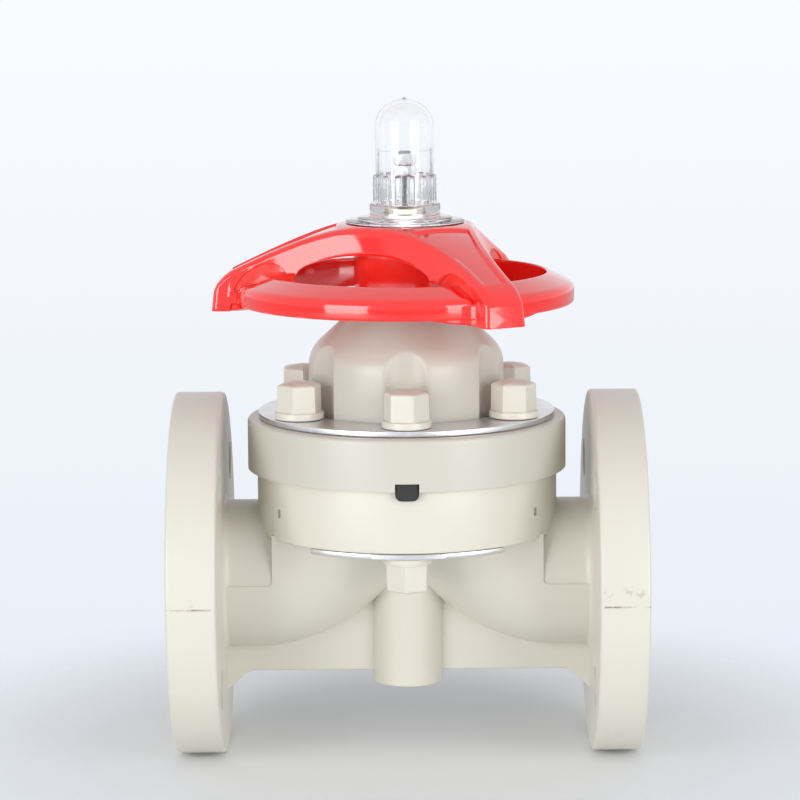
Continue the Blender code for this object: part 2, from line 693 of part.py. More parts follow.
def make_ring_plate():
    outer = BONNET_RING_RADIUS - RING_PLATE_SETBACK
    inner = DOME_RADIUS + 2 * GAP
    ring = tube(inner, outer, RING_PLATE_Z, RING_PLATE_TOP_Z, ROUND_SEGMENTS)
    plate = piece("bonnet_ring_plate", ring, ZINC_STEEL)
    cut(plate, "bolt_holes", ring_bolt_holes(RING_PLATE_Z - OVERLAP, RING_PLATE_TOP_Z + OVERLAP))


def lower_plate_outline():
    """Plate under the front of the barrel: round outside with rounded corners, straight along the block."""
    outer = BARREL_RADIUS - LOWER_PLATE_SETBACK
    inner = -bowl_half_width(0) - HOLE_CLEARANCE
    swing = LOWER_PLATE_HALF_ANGLE
    corner = LOWER_PLATE_CORNER / outer

    def at(radius, angle):
        return (radius * math.sin(angle), -radius * math.cos(angle))

    arc = [at(outer, a) for a in np.linspace(corner - swing, swing - corner, 13)]
    end = outer - LOWER_PLATE_CORNER
    right = fillet(at(outer, swing), arc[-1], at(end, swing), 4)[1:]
    left = fillet(at(outer, -swing), at(end, -swing), arc[0], 4)[:-1]
    inner_half = -inner * math.tan(swing)
    return arc + right + [(inner_half, inner), (-inner_half, inner)] + left


def make_lower_plates():
    for name, turn in (("front", 0.0), ("rear", math.pi)):
        mesh = prism(lower_plate_outline(), LOWER_PLATE_Z, LOWER_PLATE_TOP_Z)
        plate = piece(f"lower_plate_{name}", mesh, ZINC_STEEL, turn=turn)
        hole = cylinder(BOLT_HOLE_RADIUS, LOWER_PLATE_Z - OVERLAP, LOWER_PLATE_TOP_Z + OVERLAP, HOLE_SEGMENTS)
        y = -BOLT_CIRCLE_RADIUS if name == "front" else BOLT_CIRCLE_RADIUS
        cut(plate, "bolt_hole", moved(hole, 0, y))


def bolt_mesh(name, low):
    """Hex-head bolt whose head rests at height 0 and whose shank ends at low."""
    count = PIN_SEGMENTS
    rings = [circle(BOLT_DIAMETER / 2, z, count, 0.0) for z in (low, 0.0)]
    rings += [hex_ring(HEX_ACROSS_FLATS, z, count) for z in (0.0, HEAD_HEIGHT)]
    return finished_mesh(name, skin(rings))


def nut_mesh(name, across_flats, hole_radius, height, count=PIN_SEGMENTS):
    """Hex nut with a round hole, standing on height 0."""
    rings = [circle(hole_radius, z, count, 0.0) for z in (height, 0.0)]
    rings += [hex_ring(across_flats, z, count) for z in (0.0, height)]
    return finished_mesh(name, skin(rings, True))


def hex_ring(across_flats, height, count, rounding=0.0):
    """Points round a hexagon at even angles: rounding of 1 gives its inscribed circle."""
    angles = np.arange(count) * 2 * math.pi / count
    off_flat = (angles + math.pi / 6) % (math.pi / 3) - math.pi / 6
    inscribed = across_flats / 2
    radius = inscribed * (rounding + (1 - rounding) / np.cos(off_flat))
    return np.column_stack([radius * np.cos(angles), radius * np.sin(angles), np.full(count, height)])


def cap_mesh(name):
    """Plastic hex cap with a round collar, open below for the bolt head, standing on height 0."""
    count = PIN_SEGMENTS
    pocket = HEX_ACROSS_FLATS / math.sqrt(3) + GAP
    pocket_top = max(HEAD_HEIGHT, NUT_HEIGHT + BOLT_END) + 2 * GAP
    flats = CAP_ACROSS_FLATS
    rings = [
        circle(pocket, pocket_top, count, 0.0),
        circle(pocket, 0, count, 0.0),
        circle(CAP_RADIUS, 0, count, 0.0),
        circle(CAP_RADIUS, CAP_COLLAR, count, 0.0),
        hex_ring(flats, CAP_COLLAR, count),
        hex_ring(flats - CAP_DRAFT * 2, CAP_HEIGHT - CAP_CROWN, count),
        hex_ring(flats - 2 * (CAP_DRAFT + CAP_TOP_INSET), CAP_HEIGHT, count, CAP_TOP_ROUNDING),
    ]
    return finished_mesh(name, skin(rings))


def make_bolts():
    """Bolts, captive or lower nuts, and the plastic caps over what shows of them."""
    captive_end = CAPTIVE_NUT_Z - BOLT_END - HEAD_Z
    through_end = LOWER_NUT_TOP_Z - NUT_HEIGHT - BOLT_END - HEAD_Z
    short_bolt = bolt_mesh("bonnet_bolt_short", captive_end)
    long_bolt = bolt_mesh("bonnet_bolt_long", through_end)
    nut = nut_mesh("bolt_nut", HEX_ACROSS_FLATS, BOLT_DIAMETER / 2 + GAP, NUT_HEIGHT)
    cap = cap_mesh("bolt_cap")
    captive_count = 0
    for i, (azimuth, (x, y)) in enumerate(zip(bolt_azimuths(), bolt_points())):
        through = is_through_bolt(azimuth)
        piece(f"bonnet_bolt_{i + 1}", long_bolt if through else short_bolt, ZINC_STEEL, location=(x, y, HEAD_Z))
        piece(f"bolt_cap_{i + 1}", cap, GREY_PLASTIC, location=(x, y, HEAD_Z), turn=azimuth + CAP_TURNS[i])
        if through:
            side = "front" if y < 0 else "rear"
            piece(f"lower_nut_{side}", nut, ZINC_STEEL, location=(x, y, LOWER_NUT_TOP_Z - NUT_HEIGHT))
            made = piece(f"lower_nut_cap_{side}", cap, GREY_PLASTIC, location=(x, y, LOWER_NUT_TOP_Z))
            made.rotation_euler = (math.pi, 0, LOWER_CAP_TURN)
        else:
            captive_count += 1
            nut_name = f"captive_nut_{captive_count}"
            piece(nut_name, nut, ZINC_STEEL, location=(x, y, CAPTIVE_NUT_Z), turn=azimuth)


# Diaphragm, compressor and stem


def sag_at(radius):
    """Height of the compressor's underside above its middle."""
    return COMPRESSOR_SAG * (radius / COMPRESSOR_RADIUS) ** 2


def diaphragm_levels():
    """Radii and upper-surface heights of the diaphragm, from its middle out to the clamped rim."""
    middle = COMPRESSOR_Z - GAP
    start, end = STUD_HEAD_RADIUS + OVERLAP, COMPRESSOR_RADIUS - DIAPHRAGM_LIFT_OFF
    inner = [(r, middle + sag_at(r)) for r in np.linspace(start, end, 3)]
    bend = (DIAPHRAGM_SPAN - DIAPHRAGM_BEND, DIAPHRAGM_TOP_Z)
    shoulder = fillet(bend, inner[-1], (DIAPHRAGM_SPAN, DIAPHRAGM_TOP_Z), 2)
    return inner + shoulder[1:] + [(DIAPHRAGM_RADIUS, DIAPHRAGM_TOP_Z)]


def make_diaphragm():
    """Rubber disc that hangs as a bowl from its clamped rim, holds the stud and shows a tab at the front."""
    upper = diaphragm_levels()
    lower = [(r, z - DIAPHRAGM_THICKNESS) for r, z in upper]
    middle = COMPRESSOR_Z - GAP
    head = middle - DIAPHRAGM_THICKNESS / 2 + STUD_HEAD_HEIGHT / 2 + GAP
    head_low = head - STUD_HEAD_HEIGHT - 2 * GAP
    pocket = STUD_HEAD_RADIUS + GAP
    hole = STUD_RADIUS + GAP
    inside = [(pocket, head_low), (pocket, head), (hole, head), (hole, middle)]
    mesh = turned(inside + upper + lower[::-1], MEDIUM_SEGMENTS)
    rubber = piece("diaphragm", mesh, BLACK_RUBBER)
    cut(rubber, "bolt_holes", ring_bolt_holes(DIAPHRAGM_Z - OVERLAP, DIAPHRAGM_TOP_Z + OVERLAP))
    add(rubber, "tab", tab())


def tab():
    """Ear at the front of the joint, hanging over the barrel's edge, with its lower corners rounded."""
    half = TAB_WIDTH / 2
    front = -BONNET_RING_RADIUS + TAB_INSET
    hang = -BARREL_RADIUS + TAB_INSET
    low, high = SEAT_Z - TAB_DROP, SEAT_Z + TAB_RISE
    left = fillet((-half, low), (-half, low + TAB_ROUND), (-half + TAB_ROUND, low), 3)
    right = fillet((half, low), (half - TAB_ROUND, low), (half, low + TAB_ROUND), 3)
    face = [(-half, high)] + left + right + [(half, high)]
    ear = [[(x, y, z) for x, z in face] for y in (front, hang)]
    neck_low = DIAPHRAGM_Z + GAP
    neck = [(-half, high), (-half, neck_low), (half, neck_low), (half, high)]
    tongue = [[(x, y, z) for x, z in neck] for y in (hang - GAP, -DIAPHRAGM_RADIUS + OVERLAP)]
    return joined_bodies(skin(ear), skin(tongue))


def joined_bodies(first, second):
    """Union of two overlapping bodies as one mesh."""
    base = helper("joined_base", first)
    combine(base, "UNION", "joined_other", second)
    graph = bpy.context.evaluated_depsgraph_get()
    result = bmesh.new()
    result.from_object(base, graph)
    for name in ("joined_base_joined_other", "joined_base"):
        bpy.data.objects.remove(bpy.data.objects[name], do_unlink=True)
    return result


def make_stud(parent):
    middle = COMPRESSOR_Z - GAP
    head_low = middle - DIAPHRAGM_THICKNESS / 2 - STUD_HEAD_HEIGHT / 2
    head_top = head_low + STUD_HEAD_HEIGHT
    top = COMPRESSOR_Z + STUD_LENGTH
    profile = [(STUD_HEAD_RADIUS, head_low), (STUD_HEAD_RADIUS, head_top)]
    profile += [(STUD_RADIUS, head_top), (STUD_RADIUS, top)]
    piece("diaphragm_stud", moved(turned(profile, SMALL_SEGMENTS), z=-STEM_Z), STEEL, parent)


def make_compressor(parent):
    """Dished presser with a hub for the stem, a socket for the stud and two guide arms."""
    radii = np.linspace(COMPRESSOR_RADIUS, STUD_RADIUS + GAP, 5)
    shoulder = (COMPRESSOR_RIM_Z + GUIDE_Z) / 2
    stem_socket = STEM_RADIUS + GAP
    profile = [(r, COMPRESSOR_Z + sag_at(r)) for r in radii]
    profile += [(STUD_RADIUS + GAP, STEM_Z - GAP), (stem_socket, STEM_Z - GAP), (stem_socket, COMPRESSOR_TOP_Z)]
    profile += [(COMPRESSOR_HUB_RADIUS, COMPRESSOR_TOP_Z), (COMPRESSOR_HUB_RADIUS, shoulder)]
    profile += [(COMPRESSOR_RADIUS, COMPRESSOR_RIM_Z)]
    mesh = moved(turned(profile, SMALL_SEGMENTS, True), z=-STEM_Z)
    made = piece("compressor", mesh, GREY_PLASTIC, parent)
    half = GUIDE_WIDTH / 2
    inside = STEM_RADIUS + OVERLAP
    reach = BONNET_CAVITY_RADIUS + GUIDE_REACH
    low = GUIDE_Z - STEM_Z
    high = COMPRESSOR_TOP_Z - GAP - STEM_Z
    arms = [box((inside, -half, low), (reach, half, high)), box((-reach, -half, low), (-inside, half, high))]
    add(made, "guide_arms", gathered(arms))
    cut(made, "pin_hole", pin(PIN_RADIUS + GAP, COMPRESSOR_HUB_RADIUS + OVERLAP))


def pin(radius, half_length):
    """Cross pin along Y, in the stem's own frame."""
    height = COMPRESSOR_TOP_Z - PIN_DROP - STEM_Z
    rim = circle(radius, 0, PIN_SEGMENTS)
    return skin([[(p[0], y, height + p[1]) for p in rim] for y in (-half_length, half_length)])


def make_stem(parent):
    """Threaded stem with the hole for its pin and a socket for the indicator rod."""
    rod_hole = ROD_DIAMETER / 2 + GAP
    top = STEM_TOP_Z - STEM_Z
    socket = top - ROD_SOCKET_DEPTH
    profile = [(STEM_RADIUS, 0), (STEM_RADIUS, top), (rod_hole, top), (rod_hole, socket)]
    made = piece("stem", turned(profile, SMALL_SEGMENTS), STEEL, parent)
    cut(made, "pin_hole", pin(PIN_RADIUS + GAP, STEM_DIAMETER))
    piece("compressor_pin", pin(PIN_RADIUS, COMPRESSOR_HUB_RADIUS - GAP), STEEL, parent)
    rod_low = socket + GAP
    rod_top = ROD_TOP_Z - STEM_Z
    piece("indicator_rod", cylinder(ROD_DIAMETER / 2, rod_low, rod_top, PIN_SEGMENTS), ZINC_STEEL, parent)
    hole = ROD_DIAMETER / 2 + GAP
    lower = nut_mesh("stop_nut_lower", STOP_NUT_ACROSS_FLATS, hole, STOP_NUT_LOWER_HEIGHT)
    upper = nut_mesh("stop_nut_upper", STOP_NUT_ACROSS_FLATS, hole, STOP_NUT_UPPER_HEIGHT)
    piece("stop_nut_lower", lower, ZINC_STEEL, parent, (0, 0, STOP_NUT_Z - STEM_Z), STOP_NUT_TURNS[0])
    piece("stop_nut_upper", upper, ZINC_STEEL, parent, (0, 0, STOP_NUT_UPPER_Z - STEM_Z), STOP_NUT_TURNS[1])


# Sleeve and gland


def make_sleeve(parent):
    """Sleeve that the handwheel turns: collar, shoulder, hexagon drive and neck, bored for the stem."""
    groove_z = GLAND_SEAT_Z - SEAL_DROP
    groove_half = SEAL_RADIUS + GAP
    groove = SLEEVE_RADIUS - 2 * SEAL_RADIUS - GAP / 2
    levels = [
        (SLEEVE_RADIUS, SLEEVE_Z),
        (SLEEVE_RADIUS, groove_z - groove_half),
        (groove, groove_z - groove_half),
        (groove, groove_z + groove_half),
        (SLEEVE_RADIUS, groove_z + groove_half),
        (SLEEVE_RADIUS, COLLAR_Z),
        (COLLAR_RADIUS, COLLAR_Z),
        (COLLAR_RADIUS, COLLAR_TOP_Z),
        (SHOULDER_RADIUS, COLLAR_TOP_Z),
        (SHOULDER_RADIUS, SLEEVE_SHOULDER_Z),
    ]
    count = PIN_SEGMENTS
    rings = [circle(r, z, count, 0.0) for r, z in levels]
    rings += [hex_ring(DRIVE_ACROSS_FLATS, z, count) for z in (SLEEVE_SHOULDER_Z, HUB_RECESS_Z)]
    rings += [circle(SLEEVE_NECK_RADIUS, z, count, 0.0) for z in (HUB_RECESS_Z, SLEEVE_TOP_Z)]
    rings += [circle(STEM_BORE_RADIUS, z, count, 0.0) for z in (SLEEVE_TOP_Z, SLEEVE_Z)]
    piece("stem_sleeve", moved(skin(rings, True), z=-WHEEL_Z), BRASS, parent)


def make_gland():
    """Thrust washers, gland ring and round seal that hold the sleeve in the bonnet."""
    outer = COLLAR_RADIUS + SLIDE_CLEARANCE
    low_washer = GLAND_SEAT_Z + GAP
    high_washer = COLLAR_TOP_Z + GAP
    lower = tube(SLEEVE_RADIUS + GAP, outer, low_washer, low_washer + WASHER_HEIGHT)
    upper = tube(GLAND_BORE_RADIUS, outer, high_washer, high_washer + WASHER_HEIGHT)
    piece("thrust_washer_lower", lower, STEEL)
    piece("thrust_washer_upper", upper, STEEL)
    ring = tube(GLAND_BORE_RADIUS, outer, BONNET_TOP_Z - GLAND_HEIGHT, BONNET_TOP_Z)
    piece("gland_ring", ring, BRASS)
    middle = SLEEVE_RADIUS - SEAL_RADIUS
    height = GLAND_SEAT_Z - SEAL_DROP
    angles = np.arange(6) * math.pi / 3
    profile = [(middle + SEAL_RADIUS * math.cos(a), height + SEAL_RADIUS * math.sin(a)) for a in angles]
    piece("sleeve_seal", turned(profile, SMALL_SEGMENTS, True), BLACK_RUBBER)


# Handwheel


def wheel_fall(radius):
    """Drop of the handwheel's top surface below its hub at a distance from the axis."""
    part = max(radius - HUB_FLAT_RADIUS, 0.0) / (RIM_RADIUS - HUB_FLAT_RADIUS)
    tip = max(radius - ARM_REACH + TIP_ROUND_REACH, 0.0) / TIP_ROUND_REACH
    return ARM_FALL * part**ARM_FALL_POWER + TIP_ROUND_FALL * tip * tip


def arm_half_width(along):
    """Half width of an arm in plan, flaring towards the hub until it meets the next arm at the waist."""
    waist_along = WAIST_RADIUS * math.cos(math.pi / ARM_COUNT)
    waist_width = WAIST_RADIUS * math.sin(math.pi / ARM_COUNT)
    part = max(ARM_FLARE_START - along, 0.0) / (ARM_FLARE_START - waist_along)
    return ARM_HALF_WIDTH + (waist_width - ARM_HALF_WIDTH) * part**ARM_FLARE_POWER


def skirt_height(radius):
    """Height of the side wall below the top surface: two arches with a tooth between them, and a full tip."""
    tooth = abs(radius - TOOTH_RADIUS)
    if radius < TOOTH_RADIUS:
        return WAIST_WALL_HEIGHT + TOOTH_HEIGHT * max(1 - tooth / TOOTH_RUN, 0.0)
    if tooth < 2 * TOOTH_WIDTH:
        rise = WAIST_WALL_HEIGHT + TOOTH_HEIGHT - ARCH_WALL_HEIGHT
        return ARCH_WALL_HEIGHT + rise * min(2 - tooth / TOOTH_WIDTH, 1.0)
    skirt_start = ARM_REACH - SKIRT_REACH
    reach = (radius - skirt_start) / TOOTH_WIDTH
    full = WHEEL_TOP_Z - wheel_fall(radius) - TIP_Z
    if reach > 1:
        return full
    return ARCH_WALL_HEIGHT + (full - ARCH_WALL_HEIGHT) * SKIRT_START_SHARE * max(reach, 0.0)


def half_arm(inset):
    """Plan outline of half an arm, from the middle of its tip to the waist, as (along, across) points."""
    reach = ARM_REACH - inset
    half = ARM_HALF_WIDTH - inset
    corner = ARM_CORNER if inset == 0 else ARM_CORNER / 2
    points = [(reach, 0.0), (reach, half - corner), (reach - corner, half)]
    skirt_start = ARM_REACH - SKIRT_REACH
    stops = [
        skirt_start + TOOTH_WIDTH * 1.05,
        skirt_start + TOOTH_WIDTH * 0.95,
        skirt_start,
        (skirt_start + TOOTH_RADIUS + 2 * TOOTH_WIDTH) / 2,
        TOOTH_RADIUS + 1.6 * TOOTH_WIDTH,
        TOOTH_RADIUS + 0.5 * TOOTH_WIDTH,
        TOOTH_RADIUS - 0.5 * TOOTH_WIDTH,
        TOOTH_RADIUS - 2.5 * TOOTH_WIDTH,
    ]
    waist_along = WAIST_RADIUS * math.cos(math.pi / ARM_COUNT)
    stops += list(np.linspace(stops[-1], waist_along, 4)[1:-1])
    return points + [(a, arm_half_width(a) - inset) for a in stops]


def wheel_outline(inset=0.0):
    """Plan outline of the star: each arm is half_arm and its mirror image, and the arms meet at the waist."""
    half = half_arm(inset)
    waist = WAIST_RADIUS - inset
    turn = math.pi / ARM_COUNT
    arm = [(a, -p) for a, p in half[:0:-1]] + half + [(waist * math.cos(turn), waist * math.sin(turn))]
    outline = []
    for azimuth in arm_azimuths():
        c, s = math.cos(azimuth), math.sin(azimuth)
        outline += [(c * a - s * p, s * a + c * p) for a, p in arm]
    return np.array(outline)


def arm_azimuths():
    return [ARM_AZIMUTH + i * 2 * math.pi / ARM_COUNT for i in range(ARM_COUNT)]


def tip_flare(radius):
    """How far the foot of the skirt stands out from its top."""
    part = (radius - ARM_REACH + SKIRT_REACH) / SKIRT_REACH
    return TIP_FLARE * min(max(2 * part, 0.0), 1.0)


def wheel_section(point, inner):
    """Closed section of the star shell at one point of its outline: top skin, side wall, underside and hub."""
    radius = math.hypot(*point)
    inner_radius = math.hypot(*inner)
    outward = point / radius
    inward = inner / inner_radius
    flare = (point - inner) / math.hypot(*(point - inner)) * tip_flare(radius)
    top = WHEEL_TOP_Z - wheel_fall(radius)
    low = top - skirt_height(radius)
    section = [(*outward * SLEEVE_RADIUS / 2, WHEEL_TOP_Z)]
    for r in np.linspace(HUB_FLAT_RADIUS, radius, 4)[:-1]:
        section.append((*outward * r, WHEEL_TOP_Z - wheel_fall(r)))
    section += [(*point, top), (*(point + flare), low), (*(inner + flare), low)]
    for r in np.linspace(inner_radius, HUB_RADIUS, 3):
        section.append((*inward * r, WHEEL_TOP_Z - wheel_fall(r) - WHEEL_WALL))
    section += [(*inward * HUB_RADIUS, WHEEL_Z), (*outward * SLEEVE_RADIUS / 2, WHEEL_Z)]
    return section


def star_shell():
    outline = wheel_outline()
    inside = wheel_outline(WHEEL_WALL)
    return skin([wheel_section(point, inner) for point, inner in zip(outline, inside)], True)


def rim_profile():
    """Section of the grip rim: upright band outside, top sloping up to the inner lip, hollow below."""
    outer = RIM_RADIUS
    inner = RIM_RADIUS - RIM_WIDTH
    low = WHEEL_Z
    high = WHEEL_Z + RIM_HEIGHT
    return [
        (outer, low),
        (outer, low + RIM_BAND),
        (outer - RIM_EDGE, low + RIM_BAND + RIM_EDGE),
        (inner + RIM_EDGE, high),
        (inner, high - RIM_EDGE),
        (inner, low),
        (inner + WHEEL_WALL, low),
        (inner + WHEEL_WALL, high - RIM_EDGE - WHEEL_WALL),
        (outer - WHEEL_WALL, low + RIM_BAND - RIM_EDGE),
        (outer - WHEEL_WALL, low),
    ]


def tip_fillet(side):
    """Concave web in plan between one side of an arm's tip and the rim's band, in the arm's own frame."""
    half = ARM_HALF_WIDTH
    inset = WHEEL_WALL / 2
    reach = half + TIP_FILLET
    start = (ARM_REACH - ARM_CORNER, half)
    corner = (math.sqrt(RIM_RADIUS**2 - half**2), half)
    end = (math.sqrt(RIM_RADIUS**2 - reach**2), reach)
    outside = fillet(corner, start, end, 4)
    along_arm = np.linspace((start[0], half - inset), (corner[0] - inset, half - inset), 3)
    along_rim = np.linspace(along_arm[-1], (end[0] - inset, reach), 3)[1:]
    inside = np.vstack([along_arm, along_rim])
    levels = np.linspace(TIP_Z, WHEEL_Z + inset, len(outside))
    rows = [((*o, z), (*i, z)) for o, i, z in zip(outside, inside, levels)]
    low = np.array(rows)
    low[..., 1] *= side
    high = low.copy()
    high[..., 2] = WHEEL_Z + RIM_BAND
    return sheet_solid(low, high)


def panel_cutter(turn):
    """Shallow recess in the top of an arm, following the fall of the top surface and the arm's flare."""
    rows = []
    for a in np.linspace(PANEL_END, PANEL_START, 7):
        half = arm_half_width(a) - PANEL_BORDER
        across = np.linspace(-half, half, 3)
        rows.append([(a, p, WHEEL_TOP_Z - wheel_fall(math.hypot(a, p)) - PANEL_DEPTH) for p in across])
    floor = np.array(rows)
    lid = floor.copy()
    lid[..., 2] += PANEL_DEPTH + OVERLAP
    mesh = sheet_solid(floor, lid)
    return turned_to(mesh, turn)


def sheet_solid(low, high):
    """Closed body between two grids of points of the same shape."""
    mesh = bmesh.new()
    low_verts = [[mesh.verts.new(p) for p in row] for row in low]
    high_verts = [[mesh.verts.new(p) for p in row] for row in high]
    rows, columns = low.shape[:2]
    for i in range(rows - 1):
        for j in range(columns - 1):
            for grid in (low_verts, high_verts):
                mesh.faces.new((grid[i][j], grid[i + 1][j], grid[i + 1][j + 1], grid[i][j + 1]))
    border = [(i, 0) for i in range(rows)] + [(rows - 1, j) for j in range(1, columns)]
    border += [(i, columns - 1) for i in range(rows - 2, -1, -1)] + [(0, j) for j in range(columns - 2, 0, -1)]
    for (i, j), (k, m) in zip(border, border[1:] + border[:1]):
        mesh.faces.new((low_verts[i][j], low_verts[k][m], high_verts[k][m], high_verts[i][j]))
    return mesh


def make_handwheel(parent):
    """Three-arm handwheel: a star-shaped shell on a solid hub, with a grip rim through the arms."""
    wheel = piece("handwheel", moved(star_shell(), z=-WHEEL_Z), RED_PLASTIC, parent)
    add(wheel, "rim", moved(turned(rim_profile(), ROUND_SEGMENTS, True), z=-WHEEL_Z))
    fillets = [turned_to(tip_fillet(side), a) for a in arm_azimuths() for side in (-1, 1)]
    add(wheel, "tip_fillets", moved(gathered(fillets), z=-WHEEL_Z))
    drive = DRIVE_ACROSS_FLATS + 2 * GAP
    low, high = WHEEL_Z - OVERLAP, WHEEL_TOP_Z + OVERLAP
    bore = skin([hex_ring(drive, z, PIN_SEGMENTS) for z in (low, high)])
    cut(wheel, "drive_bore", moved(bore, z=-WHEEL_Z))
    recess = cylinder(COVER_BORE_RADIUS + GAP, HUB_RECESS_Z, high)
    cut(wheel, "nut_recess", moved(recess, z=-WHEEL_Z))
    cut(wheel, "arm_panels", moved(gathered([panel_cutter(a) for a in arm_azimuths()]), z=-WHEEL_Z))
    washer = tube(SLEEVE_NECK_RADIUS + GAP, COVER_BORE_RADIUS - GAP, HUB_RECESS_Z + GAP, WHEEL_NUT_Z - GAP)
    piece("wheel_washer", moved(washer, z=-WHEEL_Z), ZINC_STEEL, parent)
    nut = nut_mesh("wheel_nut", WHEEL_NUT_ACROSS_FLATS, SLEEVE_NECK_RADIUS + GAP, WHEEL_NUT_HEIGHT, 24)
    piece("wheel_nut", nut, ZINC_STEEL, parent, (0, 0, WHEEL_NUT_Z - WHEEL_Z))


# Clear cover


def cover_ring(radius, height, rib):
    """Ring of the cover: rib is how far its ribs stand out."""
    count = COVER_RIB_COUNT * 3
    ring = circle(radius, height, count)
    on_rib = np.arange(count) % 3 < 2
    scale = 1 + np.where(on_rib, rib / radius, 0.0)
    ring[:, :2] *= scale[:, None]
    return ring


def make_cover(parent):
    """Clear dome over the indicator rod: base flange, collar, ribbed grip and round top, open below."""
    rib_base = COVER_Z + COVER_BASE_HEIGHT + COVER_CONE_HEIGHT + COVER_COLLAR_HEIGHT
    rib_top = rib_base + COVER_RIB_HEIGHT
    collar_base = rib_base - COVER_COLLAR_HEIGHT
    angles = [math.radians(a) for a in (0, 28, 56)]
    rings = [cover_ring(COVER_BORE_RADIUS, COVER_Z, 0)]
    rings += [cover_ring(COVER_BASE_RADIUS, z, 0) for z in (COVER_Z, COVER_Z + COVER_BASE_HEIGHT)]
    rings += [cover_ring(COVER_COLLAR_RADIUS, z, 0) for z in (collar_base, rib_base)]
    rings += [cover_ring(COVER_RADIUS, z, COVER_RIB_RISE) for z in (rib_base, rib_top)]
    rings += [cover_ring(COVER_RADIUS, rib_top, 0)]
    for a in angles:
        height = COVER_DOME_Z + COVER_RADIUS * math.sin(a)
        rings.append(cover_ring(COVER_RADIUS * math.cos(a), height, 0))
    gate = COVER_DOME_Z + COVER_RADIUS
    rings += [cover_ring(2 * COVER_GATE_RADIUS, gate, 0), cover_ring(COVER_GATE_RADIUS, gate + GAP, 0)]
    inside = [cover_ring(COVER_GATE_RADIUS, COVER_DOME_Z + COVER_BORE_RADIUS, 0)]
    for a in angles[1::-1]:
        height = COVER_DOME_Z + COVER_BORE_RADIUS * math.sin(a)
        inside.append(cover_ring(COVER_BORE_RADIUS * math.cos(a), height, 0))
    piece("indicator_cover", moved(skin(inside + rings), z=-WHEEL_Z), CLEAR_PLASTIC, parent)


def main():
    clear_scene()
    make_body()
    make_bonnet()
    make_ring_plate()
    make_lower_plates()
    make_bolts()
    make_diaphragm()
    make_gland()
    stem_axis = axis_empty("stem_axis", STEM_Z)
    make_stud(stem_axis)
    make_compressor(stem_axis)
    make_stem(stem_axis)
    wheel_axis = axis_empty("wheel_axis", WHEEL_Z)
    make_sleeve(wheel_axis)
    make_handwheel(wheel_axis)
    make_cover(wheel_axis)


main()
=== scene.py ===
"""Looks of a flanged weir diaphragm valve with a red three-arm handwheel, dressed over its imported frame.

Every new piece is a grid of points worked out with numpy. Lengths are in metres, written as millimetres
times MM, and heights come from the frame's own nodes.
"""

import json
import math

import bmesh
import bpy
import numpy as np
from mathutils import Matrix, Vector


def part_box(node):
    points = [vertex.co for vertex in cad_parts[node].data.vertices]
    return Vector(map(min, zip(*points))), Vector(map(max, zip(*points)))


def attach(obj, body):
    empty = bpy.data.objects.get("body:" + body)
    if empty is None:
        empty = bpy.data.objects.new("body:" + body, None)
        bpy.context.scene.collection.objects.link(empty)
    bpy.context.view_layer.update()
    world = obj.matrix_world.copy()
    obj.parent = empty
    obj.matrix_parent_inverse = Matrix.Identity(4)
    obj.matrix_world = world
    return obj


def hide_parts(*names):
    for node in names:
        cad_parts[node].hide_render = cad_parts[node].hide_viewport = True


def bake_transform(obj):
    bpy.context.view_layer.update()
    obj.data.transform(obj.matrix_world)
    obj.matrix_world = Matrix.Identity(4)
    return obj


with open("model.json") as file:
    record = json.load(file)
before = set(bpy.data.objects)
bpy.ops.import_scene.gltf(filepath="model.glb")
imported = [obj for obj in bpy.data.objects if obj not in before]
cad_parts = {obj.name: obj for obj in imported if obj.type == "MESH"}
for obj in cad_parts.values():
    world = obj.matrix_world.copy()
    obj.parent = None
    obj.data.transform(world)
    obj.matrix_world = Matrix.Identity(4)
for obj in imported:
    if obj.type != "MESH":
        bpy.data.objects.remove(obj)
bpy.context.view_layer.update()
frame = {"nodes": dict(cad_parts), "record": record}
nodes = frame["nodes"]

MM = 0.001
SEAT_GAP = 0.3 * MM
OVERLAP = 2 * MM
SMOOTH_ANGLE = 35.0

# Camera of the photograph, on an image of 800 by 800 pixels
IMAGE_SIZE = 800
FOCAL_PIXELS = 3148.0
SENSOR = 36.0
CAMERA_DISTANCE = 1426.4 * MM
CAMERA_AIM = Vector((-2.9, 0.0, 160.8)) * MM
CAMERA_ELEVATION = math.radians(8.7)
CAMERA_AZIMUTH = math.radians(-0.1)
CAMERA_ROLL = math.radians(-0.46)

# Heights and radii read from the frame
body_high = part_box("valve_body")[1]
bonnet_low, bonnet_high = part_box("bonnet")
plate_low, plate_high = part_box("bonnet_ring_plate")
lower_plate_low, lower_plate_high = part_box("lower_plate_front")
wheel_low, wheel_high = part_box("handwheel")
cover_low, cover_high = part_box("indicator_cover")
AXIS_Z = body_high.y
SEAT_Z = bonnet_low.z - SEAT_GAP
BONNET_BASE_Z = bonnet_low.z
BONNET_TOP_Z = bonnet_high.z
WHEEL_TOP_Z = wheel_high.z
TIP_Z = wheel_low.z

